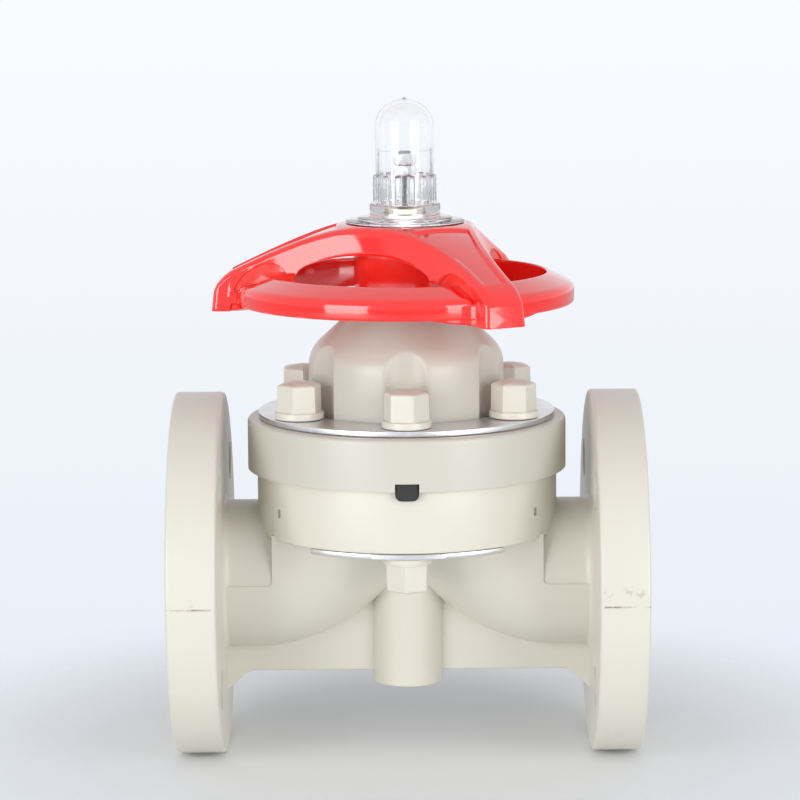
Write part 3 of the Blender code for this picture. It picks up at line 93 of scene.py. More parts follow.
# Body
FLANGE_RADIUS = AXIS_Z
FACE_HALF = body_high.x
FLANGE_THICKNESS = 22 * MM
FLANGE_EDGE = 1.7 * MM
FLANGE_HOLE_CIRCLE = 62.5 * MM
FLANGE_HOLE_RADIUS = 9 * MM
BORE_RADIUS = 25 * MM
NECK_RADIUS = 33 * MM
NECK_FILLET = 4.5 * MM
PARTING_LEDGE = 0.6 * MM
BARREL_RADIUS = 67.8 * MM
BARREL_BASE_Z = lower_plate_high.z + SEAT_GAP
BARREL_EDGE = 1.1 * MM
SEAT_EDGE = 0.5 * MM
BLOCK_HALF_LENGTH = 60.5 * MM
BLOCK_CORNER = 2.2 * MM
BLOCK_BULGE = 8.5 * MM
CHAMBER_BULGE = 12 * MM
BOWL_DROP = 2 * MM
WEIR_RISE = 25.5 * MM
WEIR_LENGTH = 18 * MM
WEIR_ROUND = 3 * MM
NOTCH_RISE = 34 * MM
NOTCH_LENGTH = 30 * MM
WEB_HALF = 4 * MM
WEB_DROP = 45.7 * MM
WEB_FOOT_DROP = 9 * MM
WEB_FOOT_LENGTH = 10.5 * MM
WEB_FOOT_ROUND = 3 * MM
WEB_EDGE = 1.2 * MM
WEB_TOP_DROP = 10 * MM
BOSS_RADIUS = 16.4 * MM
BOSS_DRAFT = 0.5 * MM
BOSS_DROP = 51 * MM
BOSS_RISE = 2 * MM
BOSS_EDGE = 0.9 * MM
WINDOW_WIDTH = 2.2 * MM
WINDOW_HEIGHT = 3.7 * MM
WINDOW_DEPTH = 8 * MM
WINDOW_RISE = 0.6 * MM
WINDOW_AZIMUTHS = (33, 147, 213, 327)
NUT_DEPTH = 15.75 * MM

# Bonnet, its plates and caps
BOLT_CIRCLE = 55 * MM
BOLT_AZIMUTHS = np.radians(-90 + 60 * np.arange(6))
RING_RADIUS = 72 * MM
RING_EDGE = 2.4 * MM
RING_TOP_Z = plate_low.z - SEAT_GAP
DOME_RADIUS = 44 * MM
DOME_SHOULDER_Z = RING_TOP_Z + 30 * MM
DOME_TOP_RADIUS = 24.5 * MM
DOME_ROUND = 7 * MM
DOME_TOP_EDGE = 2 * MM
GLAND_BORE = 17.3 * MM
GLAND_DEPTH = 14 * MM
SLEEVE_BORE = 11.3 * MM
SLEEVE_BORE_Z = RING_TOP_Z + 26 * MM
CAVITY_TOP_RADIUS = 15 * MM
CAVITY_RADIUS = 33 * MM
CAVITY_Z = BONNET_BASE_Z + 19.5 * MM
CLAMP_RADIUS = 64.3 * MM
CLAMP_Z = BONNET_BASE_Z + 4.9 * MM
FLUTE_RADIUS = 15.3 * MM
FLUTE_BLEND = 0.7 * MM
RING_PLATE_GAP = 0.6 * MM
PLATE_EDGE = 0.3 * MM
PLATE_SWING = math.radians(40.2)
PLATE_CORNER = 5 * MM
PLATE_SETBACK = 0.8 * MM
PLATE_GAP = 0.5 * MM
CAP_RADIUS = 10.9 * MM
CAP_COLLAR = 3.1 * MM
CAP_COLLAR_EDGE = 0.3 * MM
CAP_COLLAR_BEVEL = 0.5 * MM
CAP_ACROSS = 17.8 * MM
CAP_HEIGHT = 16.7 * MM
CAP_DRAFT = 0.2 * MM
CAP_CROWN = 2.6 * MM
CAP_ROUND = 1.3 * MM
CAP_SHARPNESS = 90.0
CAP_TURNS = np.radians([-12, 0, -18, 35, -28, 15])
LOWER_CAP_TURN = math.radians(-6)
TAB_HALF_WIDTH = 4.9 * MM
TAB_RISE = 3.5 * MM
TAB_DROP = 3.9 * MM
TAB_CORNER = 2.7 * MM
TAB_GAP = 0.35 * MM
TAB_POCKET = 2.6 * MM
TAB_TOP_ROUND = 0.6 * MM
TAB_SETBACK = 1.2 * MM
TAB_EDGE = 0.4 * MM
TAB_SLOT_BACK = -62 * MM
TAB_SLOT_GAP = 0.1 * MM

# Handwheel
WHEEL_Z = TIP_Z + 3 * MM
ARM_AZIMUTHS = np.radians(59.8 + 120 * np.arange(3))
HUB_FLAT = 28 * MM
HUB_RADIUS = 23 * MM
HUB_HOLE = 11.8 * MM
HUB_BORE = 10.6 * MM
HUB_RECESS = 3 * MM
HUB_DRAFT = 0.6 * MM
HUB_EDGE = 0.8 * MM
HUB_LAP = 0.05 * MM
WAIST_RADIUS = 31 * MM
WALL = 2.8 * MM
ARM_REACH = 86.2 * MM
ARM_HALF_WIDTH = 9.5 * MM
ARM_CORNER = 2.4 * MM
FLARE_START = 84 * MM
FLARE_POWER = 2.28
ARM_FALL = 19.4 * MM
ARM_FALL_POWER = 1.2
TIP_ROUND_REACH = 8.3 * MM
TIP_ROUND_FALL = 3.9 * MM
TIP_FLARE = 0.8 * MM
SKIRT_REACH = 11 * MM
WALL_LEAN = 0.22
EDGE_ROUND = 2.4 * MM
FOOT_EASE = 0.5 * MM
TOOTH_INNER = 49 * MM
TOOTH_OUTER = 52.5 * MM
TOOTH_Z = WHEEL_TOP_Z - 22.2 * MM
ARCH_CREST = 59 * MM
ARCH_FOOT = 78.6 * MM
ARCH_Z = WHEEL_TOP_Z - 17.4 * MM
WAIST_LOW_Z = WHEEL_TOP_Z - 12.6 * MM
RIM_RADIUS = 75.9 * MM
RIM_WIDTH = 12.5 * MM
RIM_HEIGHT = 14.1 * MM
RIM_BAND = 7.5 * MM
RIM_EDGE = 1.6 * MM
RIM_ROUNDS = np.array([1.3, 2.8, 1.8, 0.8, 0.8, 1, 1, 0.8]) * MM
TIP_FILLET = 9 * MM
WEB_INSET = 0.15 * MM
TIP_WEDGE = 20 * MM
TIP_WEDGE_INSET = 0.8 * MM
CORE_START = 49.5 * MM
CORE_RECESS = 0.6 * MM
CORE_ROUND = 2 * MM
PANEL_DEPTH = 1.2 * MM
PANEL_STEP = 0.9 * MM
PANEL_BORDER = 4.2 * MM
PANEL_START = 30.5 * MM
PANEL_END = 78 * MM

# Clear cover and what it shows
COVER_WALL = 1.5 * MM
COVER_RADIUS = 13.1 * MM
COVER_BASE_RADIUS = 26.7 * MM
COVER_BASE_EDGE = 0.8 * MM
COVER_STEP_RADIUS = 21.2 * MM
COVER_STEP = 2.1 * MM
COVER_COLLAR_RADIUS = 15.9 * MM
COVER_COLLAR = 8.3 * MM
COVER_DOME_RISE = 11.6 * MM
COVER_GATE = 0.9 * MM
COVER_INNER_STEP = 0.08 * MM
COVER_RIBS = 14
COVER_RIB_RISE = 1.1 * MM
COVER_RIB_WIDTH = 2.3 * MM
COVER_RIB_FLANK = 1.1 * MM
COVER_RIB_TOP = 21.3 * MM
COVER_RIB_START = 0.3 * MM
COVER_WALL_START = 0.4 * MM
COVER_RIB_END = 0.6 * MM
COVER_ROUNDS = np.array([0, 0.25, 0.3, 0.4, 0.4, 0.6, 0.7, 0.3]) * MM
NUTS = (
    ("wheel_nut", 19.6 * MM, 9.5 * MM, 0.0, "wheel"),
    ("stop_nut_lower", 10 * MM, 3.1 * MM, math.radians(18), "stem"),
    ("stop_nut_upper", 10 * MM, 3.1 * MM, math.radians(24), "stem"),
)
NUT_CHAMFER = 0.7 * MM
NUT_FACE_SHARE = 0.98
ROD_RADIUS = 3 * MM
ROD_PITCH = 1 * MM
ROD_THREAD_DEPTH = 0.45 * MM
ROD_END = 0.8 * MM
ROD_END_DROP = 0.6 * MM

# Rubber diaphragm
DISC_BEND_RADIUS = 34
DISC_CLAMP_START = 35
DISC_RADIUS = 63.9
DISC_LOW = 0.05 * MM
DISC_TOP = 4.6 * MM
DISC_LAP = 1.6 * MM

# Colours
GREY_DARK = (0.70, 0.672, 0.585)
GREY_PALE = (0.755, 0.733, 0.65)
BONNET_SHADE = 0.84
SMUDGE_COLOUR = (0.36, 0.31, 0.24)
GRIME_COLOUR = (0.20, 0.15, 0.10)
RED_DEEP = (0.95, 0.009, 0.006)
RED_BRIGHT = (1.0, 0.014, 0.010)
# Paler red painted on the wheel's convex edges as a highlight
RED_EDGE_HIGHLIGHT = (1.0, 0.12, 0.09)
ZINC_COLOUR = (0.82, 0.83, 0.85)
THREAD_COLOUR = (0.50, 0.51, 0.53)
BRASS_COLOUR = (0.72, 0.55, 0.25)
WORN_METAL = (0.9, 0.9, 0.9)
RUBBER_DARK = (0.008, 0.008, 0.008)
RUBBER_PALE = (0.03, 0.03, 0.03)
CLEAR_TINT = (0.985, 0.99, 0.99)
CLEAR_IOR = 1.49

# Stage
BACKDROP_WHITE = (0.955, 0.965, 1.0)
BACKDROP_GREY = (0.79, 0.84, 0.93)
BACKDROP_LOW = -0.27
BACKDROP_HIGH = -0.03
WORLD_COLOUR = (0.97, 0.985, 1.0)
WORLD_LIGHT = 0.50
FLOOR_COLOUR = (0.95, 0.965, 0.99)
FLOOR_FADE = (0.09, 0.30)
FLOOR_HALF = 3.0
LAMP_TARGET = (0, 0, 0.14)
LAMPS = (
    ("left_box", (-0.96, -1.15, 0.38), (0.8, 0.75), 10.0),
    ("right_box", (1.02, -1.10, 0.38), (0.85, 0.75), 9.0),
)


# Grids of points and meshes


def rounded(points, radii, steps=5):
    """Polyline of (x, y) points whose corners are replaced by curves: a quadratic curve whose ends lie a
    radius before and after the corner. A radius of 0 keeps the corner."""
    points = np.asarray(points, float)
    radii = np.broadcast_to(radii, len(points))
    t = np.linspace(0, 1, steps + 1)[:, None]
    made = []
    for i, (corner, radius) in enumerate(zip(points, radii)):
        if radius == 0:
            made.append(corner[None])
            continue
        before = points[i - 1] - corner
        after = points[(i + 1) % len(points)] - corner
        start = corner + before * min(radius / np.hypot(*before), 0.49)
        end = corner + after * min(radius / np.hypot(*after), 0.49)
        made.append(quadratic(start, corner, end, t))
    return np.vstack(made)


def ramp(value, start, end):
    """Share of the way from a start to an end, held between 0 and 1."""
    return np.clip((value - start) / (end - start), 0, 1)


def eased(share):
    """Smooth step: 3 s^2 - 2 s^3."""
    return share**2 * (3 - 2 * share)


def quarter(steps, first=0.0):
    """Angles of a quarter turn."""
    return np.linspace(first, math.pi / 2, steps)


def quadratic(start, corner, end, t):
    """Quadratic curve from a start to an end, drawn towards a corner."""
    return (1 - t) ** 2 * start + 2 * t * (1 - t) * corner + t**2 * end


def angles(count, start=0.0):
    """Equal steps of one whole turn."""
    return start + np.arange(count) * (2 * math.pi) / count


def turned(profile, count=144):
    """Grid of a body of revolution: (r, z) of the profile goes round the Z axis as (r cos a, r sin a, z)."""
    profile = np.asarray(profile, float)
    a = angles(count)
    r, z = profile[:, :1], profile[:, 1:]
    x = r * np.cos(a)
    y = r * np.sin(a)
    return np.stack([x, y, z + 0 * x], axis=-1)


def along_pipe(grid, side):
    """Lays a grid turned round Z down along the pipe: its height becomes X, on one side of the stem axis."""
    across, up, along = np.moveaxis(grid, -1, 0)
    return np.stack([side * along, across, AXIS_Z + up], axis=-1)


def grid_faces(rows, columns, wrap_rows, wrap_columns, first=0):
    """Quads between neighbouring points of a grid, as indices into its flattened rows."""
    i = np.arange(rows if wrap_rows else rows - 1)[:, None]
    j = np.arange(columns if wrap_columns else columns - 1)[None, :]
    i_next = (i + 1) % rows
    j_next = (j + 1) % columns
    corners = [i * columns + j, i * columns + j_next, i_next * columns + j_next, i_next * columns + j]
    return first + np.stack(corners, axis=-1).reshape(-1, 4)


class Shell:
    """Several grids gathered into one mesh, welded where their points meet."""

    def __init__(self):
        self.points = []
        self.faces = []
        self.count = 0

    def add(self, grid, wrap_rows=False, wrap_columns=True, caps=False):
        grid = np.asarray(grid, float)
        rows, columns = grid.shape[:2]
        self.faces += grid_faces(rows, columns, wrap_rows, wrap_columns, self.count).tolist()
        if caps:
            ring = np.arange(columns)
            self.faces.append((self.count + ring[::-1]).tolist())
            self.faces.append((self.count + (rows - 1) * columns + ring).tolist())
        self.points.append(grid.reshape(-1, 3))
        self.count += rows * columns
        return self

    def mesh(self, name, sharp=SMOOTH_ANGLE):
        data = bpy.data.meshes.new(name)
        data.from_pydata(np.vstack(self.points), [], self.faces)
        work = bmesh.new()
        work.from_mesh(data)
        bmesh.ops.remove_doubles(work, verts=work.verts, dist=2e-6)
        bmesh.ops.dissolve_degenerate(work, edges=work.edges, dist=1e-7)
        bmesh.ops.recalc_face_normals(work, faces=work.faces)
        work.to_mesh(data)
        work.free()
        smooth(data, sharp)
        return data


def smooth(data, sharp=SMOOTH_ANGLE):
    """Smooth shading, with edges kept where faces meet at more than an angle."""
    data.shade_smooth()
    data.set_sharp_from_angle(angle=math.radians(sharp))


def solid(name, grid, wrap_rows=False, caps=False, sharp=SMOOTH_ANGLE):
    """Mesh of one grid."""
    return Shell().add(grid, wrap_rows, True, caps).mesh(name, sharp)


def combined(name, base, steps):
    """Mesh of a base after unions and cuts with other meshes, in order."""
    target = bpy.data.objects.new(name, base)
    bpy.context.scene.collection.objects.link(target)
    others = []
    for operation, data in steps:
        other = bpy.data.objects.new(name, data)
        bpy.context.scene.collection.objects.link(other)
        modifier = target.modifiers.new(operation, "BOOLEAN")
        modifier.operation = operation
        modifier.solver = "EXACT"
        modifier.object = other
        others.append(other)
    bpy.context.view_layer.update()
    graph = bpy.context.evaluated_depsgraph_get()
    made = bpy.data.meshes.new_from_object(target.evaluated_get(graph))
    for used in [target, *others]:
        bpy.data.objects.remove(used, do_unlink=True)
    made.name = name
    made.materials.clear()
    smooth(made)
    return made


def box_grid(low, high):
    """Two rings of a box between opposite corners."""
    corners = [(low[0], low[1]), (high[0], low[1]), (high[0], high[1]), (low[0], high[1])]
    return np.array([[(*corner, z) for corner in corners] for z in (low[2], high[2])])


def spun(grid, azimuth, centre=(0.0, 0.0)):
    """Grid turned about the upright line through a centre."""
    grid = np.array(grid, float)
    c, s = math.cos(azimuth), math.sin(azimuth)
    x, y = grid[..., 0].copy(), grid[..., 1].copy()
    grid[..., 0] = centre[0] + c * x - s * y
    grid[..., 1] = centre[1] + s * x + c * y
    return grid


def show(name, data, look, body, slot, *stands_for):
    """Puts a finished mesh in the scene: it takes a material, rides on a body and stands for CAD nodes."""
    made = bpy.data.objects.new(name, data)
    bpy.context.scene.collection.objects.link(made)
    data.materials.clear()
    data.materials.append(look)
    if body:
        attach(made, body)
    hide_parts(*stands_for)
    return made


# Valve body


def spread(x):
    """Share of the chamber's widening at a place along the pipe: (1 - (x / block)^2)^2."""
    part = np.minimum(np.abs(x) / BLOCK_HALF_LENGTH, 1.0)
    return (1 - part**2) ** 2


def passage_middle(x):
    return AXIS_Z + (SEAT_Z - AXIS_Z) * spread(x)


def weir_climb(x, rise, length):
    """Rise of the passage floor or of the notch below it: exponential on both sides of a rounded crest,
    fading to nothing at the necks."""
    crest = rise * np.sqrt(spread(x))
    return crest * np.exp((WEIR_ROUND - np.hypot(x, WEIR_ROUND)) / length)


def pipe_end(side):
    """Flange and neck as one turned profile with rounded rim and a fillet at the flange's back."""
    back = FACE_HALF - FLANGE_THICKNESS
    start = BLOCK_HALF_LENGTH - OVERLAP
    corners = [
        (start, 0),
        (start, NECK_RADIUS),
        (back, NECK_RADIUS),
        (back, FLANGE_RADIUS),
        (FACE_HALF, FLANGE_RADIUS),
        (FACE_HALF, 0),
    ]
    profile = rounded(corners, [0, 0, NECK_FILLET, FLANGE_EDGE, FLANGE_EDGE, 0], 6)
    return along_pipe(turned(profile[:, ::-1], 192), side)


def bowl():
    """Bulged underside: at each x half an ellipse below the passage's middle, with upright walls up into the
    barrel. The wall's upper edge follows a quarter circle where the block meets the neck's ledge."""
    neck_end = FACE_HALF - FLANGE_THICKNESS + OVERLAP
    ledge = BLOCK_HALF_LENGTH + BLOCK_CORNER * (1 - np.sin(quarter(6)))
    inner = BLOCK_HALF_LENGTH * np.linspace(1, 0, 42) ** 1.25
    half = np.concatenate([[neck_end], ledge, inner])
    x = np.concatenate([-half, half[-2::-1]])[:, None]
    away = np.abs(x) - BLOCK_HALF_LENGTH
    corner = np.clip((BLOCK_CORNER - away) / BLOCK_CORNER, 0, 1)
    ledge_top = AXIS_Z + BLOCK_CORNER * (1 - np.sqrt(1 - corner**2))
    middle = passage_middle(x) - BOWL_DROP * spread(x)
    block_top = np.maximum(BARREL_BASE_Z + OVERLAP, middle)
    top = np.where(away > 1e-9, ledge_top, block_top)
    a = np.linspace(0, math.pi, 49)[None, :]
    bowl_radius = NECK_RADIUS + PARTING_LEDGE
    width = bowl_radius + BLOCK_BULGE * spread(x)
    depth = middle - (AXIS_Z - bowl_radius + weir_climb(x, NOTCH_RISE, NOTCH_LENGTH))
    y = np.hstack([-width, -width * np.cos(a), width])
    z = np.hstack([top, middle - depth * np.sin(a), top])
    return np.stack([x + 0 * y, y, z], axis=-1)


def passage():
    """Flow passage: the bore's circle at the ends, an ellipse hung from the seat over the weir in the
    middle."""
    end = FACE_HALF + OVERLAP
    half = np.concatenate([[end], BLOCK_HALF_LENGTH * np.linspace(1, 0, 30) ** 1.2])
    x = np.concatenate([-half, half[-2::-1]])[:, None]
    middle = passage_middle(x)
    climb = weir_climb(x, WEIR_RISE + BORE_RADIUS, WEIR_LENGTH)
    depth = middle - (AXIS_Z - BORE_RADIUS + climb)
    width = BORE_RADIUS + CHAMBER_BULGE * spread(x)
    a = angles(64)[None, :]
    height = np.where(np.sin(a) > 0, BORE_RADIUS, depth)
    y = width * np.cos(a)
    return np.stack([x + 0 * y, y, middle + height * np.sin(a)], axis=-1)


def web():
    """Upright rib under the pipe with a sloping foot at each flange, its lower edges rounded by quarter
    circles."""
    end = FACE_HALF - FLANGE_THICKNESS
    low = AXIS_Z - WEB_DROP
    foot_low = low - WEB_FOOT_DROP
    side = [(end + OVERLAP, foot_low), (end, foot_low), (end - WEB_FOOT_LENGTH, low), (0, low)]
    half = rounded(side, [0, 0, WEB_FOOT_ROUND, 0], 4)[:-1]
    x = np.concatenate([-half[:, 0], half[::-1, 0]])[:, None]
    foot = np.concatenate([half[:, 1], half[::-1, 1]])[:, None]
    a = np.linspace(math.pi, 1.5 * math.pi, 5)
    left = -WEB_HALF + WEB_EDGE * (1 + np.cos(a))
    rise = WEB_EDGE * (1 + np.sin(a))
    y = np.concatenate([[-WEB_HALF], left, -left[::-1], [WEB_HALF]])[None, :]
    z = foot + np.concatenate([[0], rise, rise[::-1], [0]])[None, :]
    z[:, [0, -1]] = AXIS_Z - WEB_TOP_DROP
    return np.stack([x + 0 * y, y + 0 * x, z], axis=-1)


def boss():
    """Round support boss with a little draft."""
    low, high = AXIS_Z - BOSS_DROP, AXIS_Z + BOSS_RISE
    profile = [(0, low), (BOSS_RADIUS - BOSS_DRAFT, low), (BOSS_RADIUS, high), (0, high)]
    return turned(rounded(profile, [0, BOSS_EDGE, 0, 0]), 96)


def barrel():
    """Round barrel that the bonnet sits on."""
    corners = [(0, BARREL_BASE_Z), (BARREL_RADIUS, BARREL_BASE_Z), (BARREL_RADIUS, SEAT_Z), (0, SEAT_Z)]
    return turned(rounded(corners, [0, BARREL_EDGE, SEAT_EDGE, 0]), 192)


def body_cuts():
    """Flange bolt holes, captive-nut windows and the opening for the diaphragm's tab, as one cutter."""
    cutter = Shell()
    near, far = FACE_HALF - FLANGE_THICKNESS - OVERLAP, FACE_HALF + OVERLAP
    for side in (-1, 1):
        for a in angles(4, math.pi / 4):
            hole = turned([(FLANGE_HOLE_RADIUS, near), (FLANGE_HOLE_RADIUS, far)], 40)
            hole[..., 0] += FLANGE_HOLE_CIRCLE * math.cos(a)
            hole[..., 1] += FLANGE_HOLE_CIRCLE * math.sin(a)
            cutter.add(along_pipe(hole, side), caps=True)
    middle = SEAT_Z - NUT_DEPTH + WINDOW_RISE
    low = (BARREL_RADIUS - WINDOW_DEPTH, -WINDOW_WIDTH / 2, middle - WINDOW_HEIGHT / 2)
    high = (BARREL_RADIUS + OVERLAP, WINDOW_WIDTH / 2, middle + WINDOW_HEIGHT / 2)
    for azimuth in np.radians(WINDOW_AZIMUTHS):
        cutter.add(spun(box_grid(low, high), azimuth), caps=True)
    half = TAB_HALF_WIDTH + TAB_GAP
    low, high = SEAT_Z - TAB_DROP - TAB_GAP, SEAT_Z + OVERLAP
    corners = [(-half, high), (-half, low), (half, low), (half, high)]
    face = rounded(corners, [0, TAB_CORNER + TAB_GAP, TAB_CORNER + TAB_GAP, 0], 6)
    depths = (-BARREL_RADIUS - OVERLAP, -BARREL_RADIUS + TAB_POCKET)
    rings = [np.column_stack([face[:, 0], np.full(len(face), y), face[:, 1]]) for y in depths]
    cutter.add(np.array(rings), caps=True)
    return cutter.mesh("body_cuts")


def make_body(look):
    """Flanged body: the joined forms less the passage, the holes and the openings."""
    ends = Shell().add(pipe_end(-1)).add(pipe_end(1)).mesh("pipe_ends")
    steps = [
        ("UNION", solid("bowl", bowl(), caps=True)),
        ("UNION", solid("barrel", barrel())),
        ("UNION", solid("web", web(), caps=True)),
        ("UNION", solid("boss", boss())),
        ("DIFFERENCE", solid("passage", passage(), caps=True)),
        ("DIFFERENCE", body_cuts()),
    ]
    show("moulded_body", combined("moulded_body", ends, steps), look, "body", "grey_plastic", "valve_body")


# Bonnet


def flute_distance(azimuth):
    """Distance from the stem axis to the near side of the round clearance beside the closest bolt cap."""
    off = (azimuth - BOLT_AZIMUTHS[0] + math.pi / 6) % (math.pi / 3) - math.pi / 6
    across = BOLT_CIRCLE * np.sin(off)
    inside = np.sqrt(np.maximum(FLUTE_RADIUS**2 - across**2, 0.0))
    return np.where(np.abs(across) < FLUTE_RADIUS, BOLT_CIRCLE * np.cos(off) - inside, 1.0)


def soft_least(first, second, blend):
    """Smaller of two lengths, rounded over a blend width where they are close."""
    near = np.clip(0.5 + 0.5 * (second - first) / blend, 0, 1)
    return second * (1 - near) + first * near - blend * near * (1 - near)


def make_bonnet(look):
    """Ring, dome and inner cavity as one turned profile, its dome rows drawn in beside the bolt caps."""
    outside = [
        (RING_RADIUS, BONNET_BASE_Z),
        (RING_RADIUS, RING_TOP_Z),
        (DOME_RADIUS, RING_TOP_Z),
        (DOME_RADIUS, DOME_SHOULDER_Z),
        (DOME_TOP_RADIUS, BONNET_TOP_Z),
        (GLAND_BORE, BONNET_TOP_Z),
    ]
    outside = rounded(outside, [0, RING_EDGE, 0, DOME_ROUND, DOME_TOP_EDGE, 0], 7)
    inside = [
        (GLAND_BORE, BONNET_TOP_Z - GLAND_DEPTH),
        (SLEEVE_BORE, BONNET_TOP_Z - GLAND_DEPTH),
        (SLEEVE_BORE, SLEEVE_BORE_Z),
        (CAVITY_TOP_RADIUS, SLEEVE_BORE_Z),
        (CAVITY_RADIUS, CAVITY_Z),
        (CAVITY_RADIUS, CLAMP_Z),
        (CLAMP_RADIUS, CLAMP_Z),
        (CLAMP_RADIUS, BONNET_BASE_Z),
    ]
    dome = (outside[:, 0] < DOME_RADIUS + 1e-6) & (outside[:, 1] > RING_TOP_Z - 1e-6)
    first = int(np.argmax(dome))
    wall = outside[first:]
    length = np.concatenate([[0], np.cumsum(np.hypot(*np.diff(wall, axis=0).T))])
    fine = np.linspace(0, length[-1], 70)
    wall = np.column_stack([np.interp(fine, length, wall[:, 0]), np.interp(fine, length, wall[:, 1])])
    grid = turned(np.vstack([outside[:first], wall, inside]), 360)
    radius = np.hypot(grid[..., 0], grid[..., 1])
    azimuth = np.arctan2(grid[..., 1], grid[..., 0])
    drawn = soft_least(radius, flute_distance(azimuth), FLUTE_BLEND)
    rows = slice(first, first + len(wall))
    scale = np.ones_like(radius)
    scale[rows] = drawn[rows] / radius[rows]
    grid[..., :2] *= scale[..., None]
    half = TAB_HALF_WIDTH + TAB_GAP
    front = (-half, -RING_RADIUS - OVERLAP, BONNET_BASE_Z - OVERLAP)
    back = (half, TAB_SLOT_BACK, BONNET_BASE_Z + TAB_RISE + TAB_SLOT_GAP)
    slot = solid("tab_slot", box_grid(front, back), caps=True)
    data = combined("fluted_bonnet", solid("bonnet_form", grid, True), [("DIFFERENCE", slot)])
    show("fluted_bonnet", data, look, "body", "grey_plastic", "bonnet")


def make_plates(look):
    """Steel ring on the bonnet, and the two plates under the barrel with rounded ends."""
    low, high = plate_low.z, plate_high.z
    inner, outer = DOME_RADIUS + RING_PLATE_GAP, plate_high.x
    corners = [(inner, low), (outer, low), (outer, high), (inner, high)]
    ring = solid("ring_plate", turned(rounded(corners, PLATE_EDGE, 3), 192), True)
    show("ring_plate", ring, look, "body", "zinc_steel", "bonnet_ring_plate")
    for name, turn in (("front", 0.0), ("rear", math.pi)):
        data = solid(f"crescent_plate_{name}", spun(crescent(), turn), True)
        show(f"crescent_plate_{name}", data, look, "body", "zinc_steel", f"lower_plate_{name}")


def crescent():
    """Plate under the barrel: an arc outside with rounded ends, straight inside, its edges eased."""
    outer = BARREL_RADIUS - PLATE_SETBACK
    inner = NECK_RADIUS + PARTING_LEDGE + BLOCK_BULGE + PLATE_GAP
    a = np.linspace(-PLATE_SWING, PLATE_SWING, 49)
    arc = np.column_stack([outer * np.sin(a), -outer * np.cos(a)])
    back = inner * math.tan(PLATE_SWING)
    corners = np.vstack([arc, [(back, -inner), (-back, -inner)]])
    radii = np.zeros(len(corners))
    radii[[0, len(arc) - 1]] = PLATE_CORNER
    outline = rounded(corners, radii, 6)
    middle = np.array([0.0, -(outer + inner) / 2])
    ease = PLATE_EDGE
    low, high = lower_plate_low.z, lower_plate_high.z
    inward = (outline - middle) / np.hypot(*(outline - middle).T)[:, None]
    small = outline - inward * ease
    centre = middle + 0 * outline
    rings = [(centre, low), (small, low), (outline, low + ease), (outline, high - ease)]
    rings += [(small, high), (centre, high)]
    return np.array([np.column_stack([plan, np.full(len(plan), z)]) for plan, z in rings])


# Hexagon caps and nuts


def hexagon(a, across, softness):
    """Radius of a rounded hexagon: inverse of the power mean of |cos| in its three directions."""
    directions = np.arange(3)[:, None] * math.pi / 3
    shares = np.abs(np.cos(a[None, :] - directions)) ** softness
    return across / 2 * np.sum(shares, axis=0) ** (-1 / softness)


def hex_grid(rows, count, softness=40.0):
    """Grid whose rows are (radius of a circle, across flats of a hexagon, share of the hexagon, height)."""
    a = angles(count)
    rings = []
    for circle_radius, across, share, z in rows:
        r = (1 - share) * circle_radius + share * hexagon(a, max(across, 1e-6), softness)
        rings.append(np.column_stack([r * np.cos(a), r * np.sin(a), np.full(count, z)]))
    return np.array(rings)


def cap_grid():
    """Moulded cap: round collar, hexagon with a little draft, rounded shoulder and a shallow domed crown."""
    across, top = CAP_ACROSS, CAP_ACROSS - 2 * CAP_DRAFT
    collar = CAP_RADIUS
    low, bevel = CAP_COLLAR_EDGE, CAP_COLLAR_BEVEL
    rows = [(0, 0, 0, 0), (collar - low, 0, 0, 0), (collar, 0, 0, low), (collar, 0, 0, CAP_COLLAR - bevel)]
    rows += [(collar - 0.3 * bevel, 0, 0, CAP_COLLAR - 0.3 * bevel), (collar - bevel, 0, 0, CAP_COLLAR)]
    shoulder = CAP_HEIGHT - CAP_CROWN
    for part in np.linspace(0, 1, 5):
        rows.append((0, across + (top - across) * part, 1, CAP_COLLAR + (shoulder - CAP_COLLAR) * part))
    for bend in np.linspace(0, 1.1, 6)[1:]:
        inset = CAP_ROUND * (1 - math.cos(bend))
        rows.append((0, top - 2 * inset, 1, shoulder + CAP_ROUND * math.sin(bend)))
    edge, ledge = rows[-1][1], rows[-1][3]
    for share in np.linspace(1, 0, 7)[1:]:
        height = ledge + (CAP_HEIGHT - ledge) * (1 - share**2)
        rows.append((0.52 * edge * share, edge * share, share, height))
    return hex_grid(rows, 96, CAP_SHARPNESS)


def make_caps(look):
    """Caps over the six bolts and, upside down, over the two lower nuts."""
    base = plate_high.z + SEAT_GAP
    for i, azimuth in enumerate(BOLT_AZIMUTHS):
        centre = (BOLT_CIRCLE * math.cos(azimuth), BOLT_CIRCLE * math.sin(azimuth))
        grid = spun(cap_grid(), azimuth + CAP_TURNS[i], centre)
        grid[..., 2] += base
        data = solid(f"hex_cap_{i + 1}", grid)
        show(f"hex_cap_{i + 1}", data, look, "body", "grey_plastic", f"bolt_cap_{i + 1}")
    top = lower_plate_low.z - SEAT_GAP
    for name, side in (("front", -1), ("rear", 1)):
        grid = spun(cap_grid() * (1, -1, -1), LOWER_CAP_TURN, (0, side * BOLT_CIRCLE))
        grid[..., 2] += top
        data = solid(f"lower_cap_{name}", grid)
        show(f"lower_cap_{name}", data, look, "body", "grey_plastic", f"lower_nut_cap_{name}")


def nut_grid(across, hole, height, chamfer):
    """Hexagon nut: flat faces, corners cut by a cone above and below, and a round hole."""
    corner = across / math.sqrt(3)
    face = across / 2 * NUT_FACE_SHARE
    rows = [
        (hole, 0, 0, 0),
        (face, 0, 0, 0),
        (corner, across, 1, chamfer),
        (corner, across, 1, height - chamfer),
        (face, 0, 0, height),
        (hole, 0, 0, height),
    ]
    return hex_grid(rows, 72)


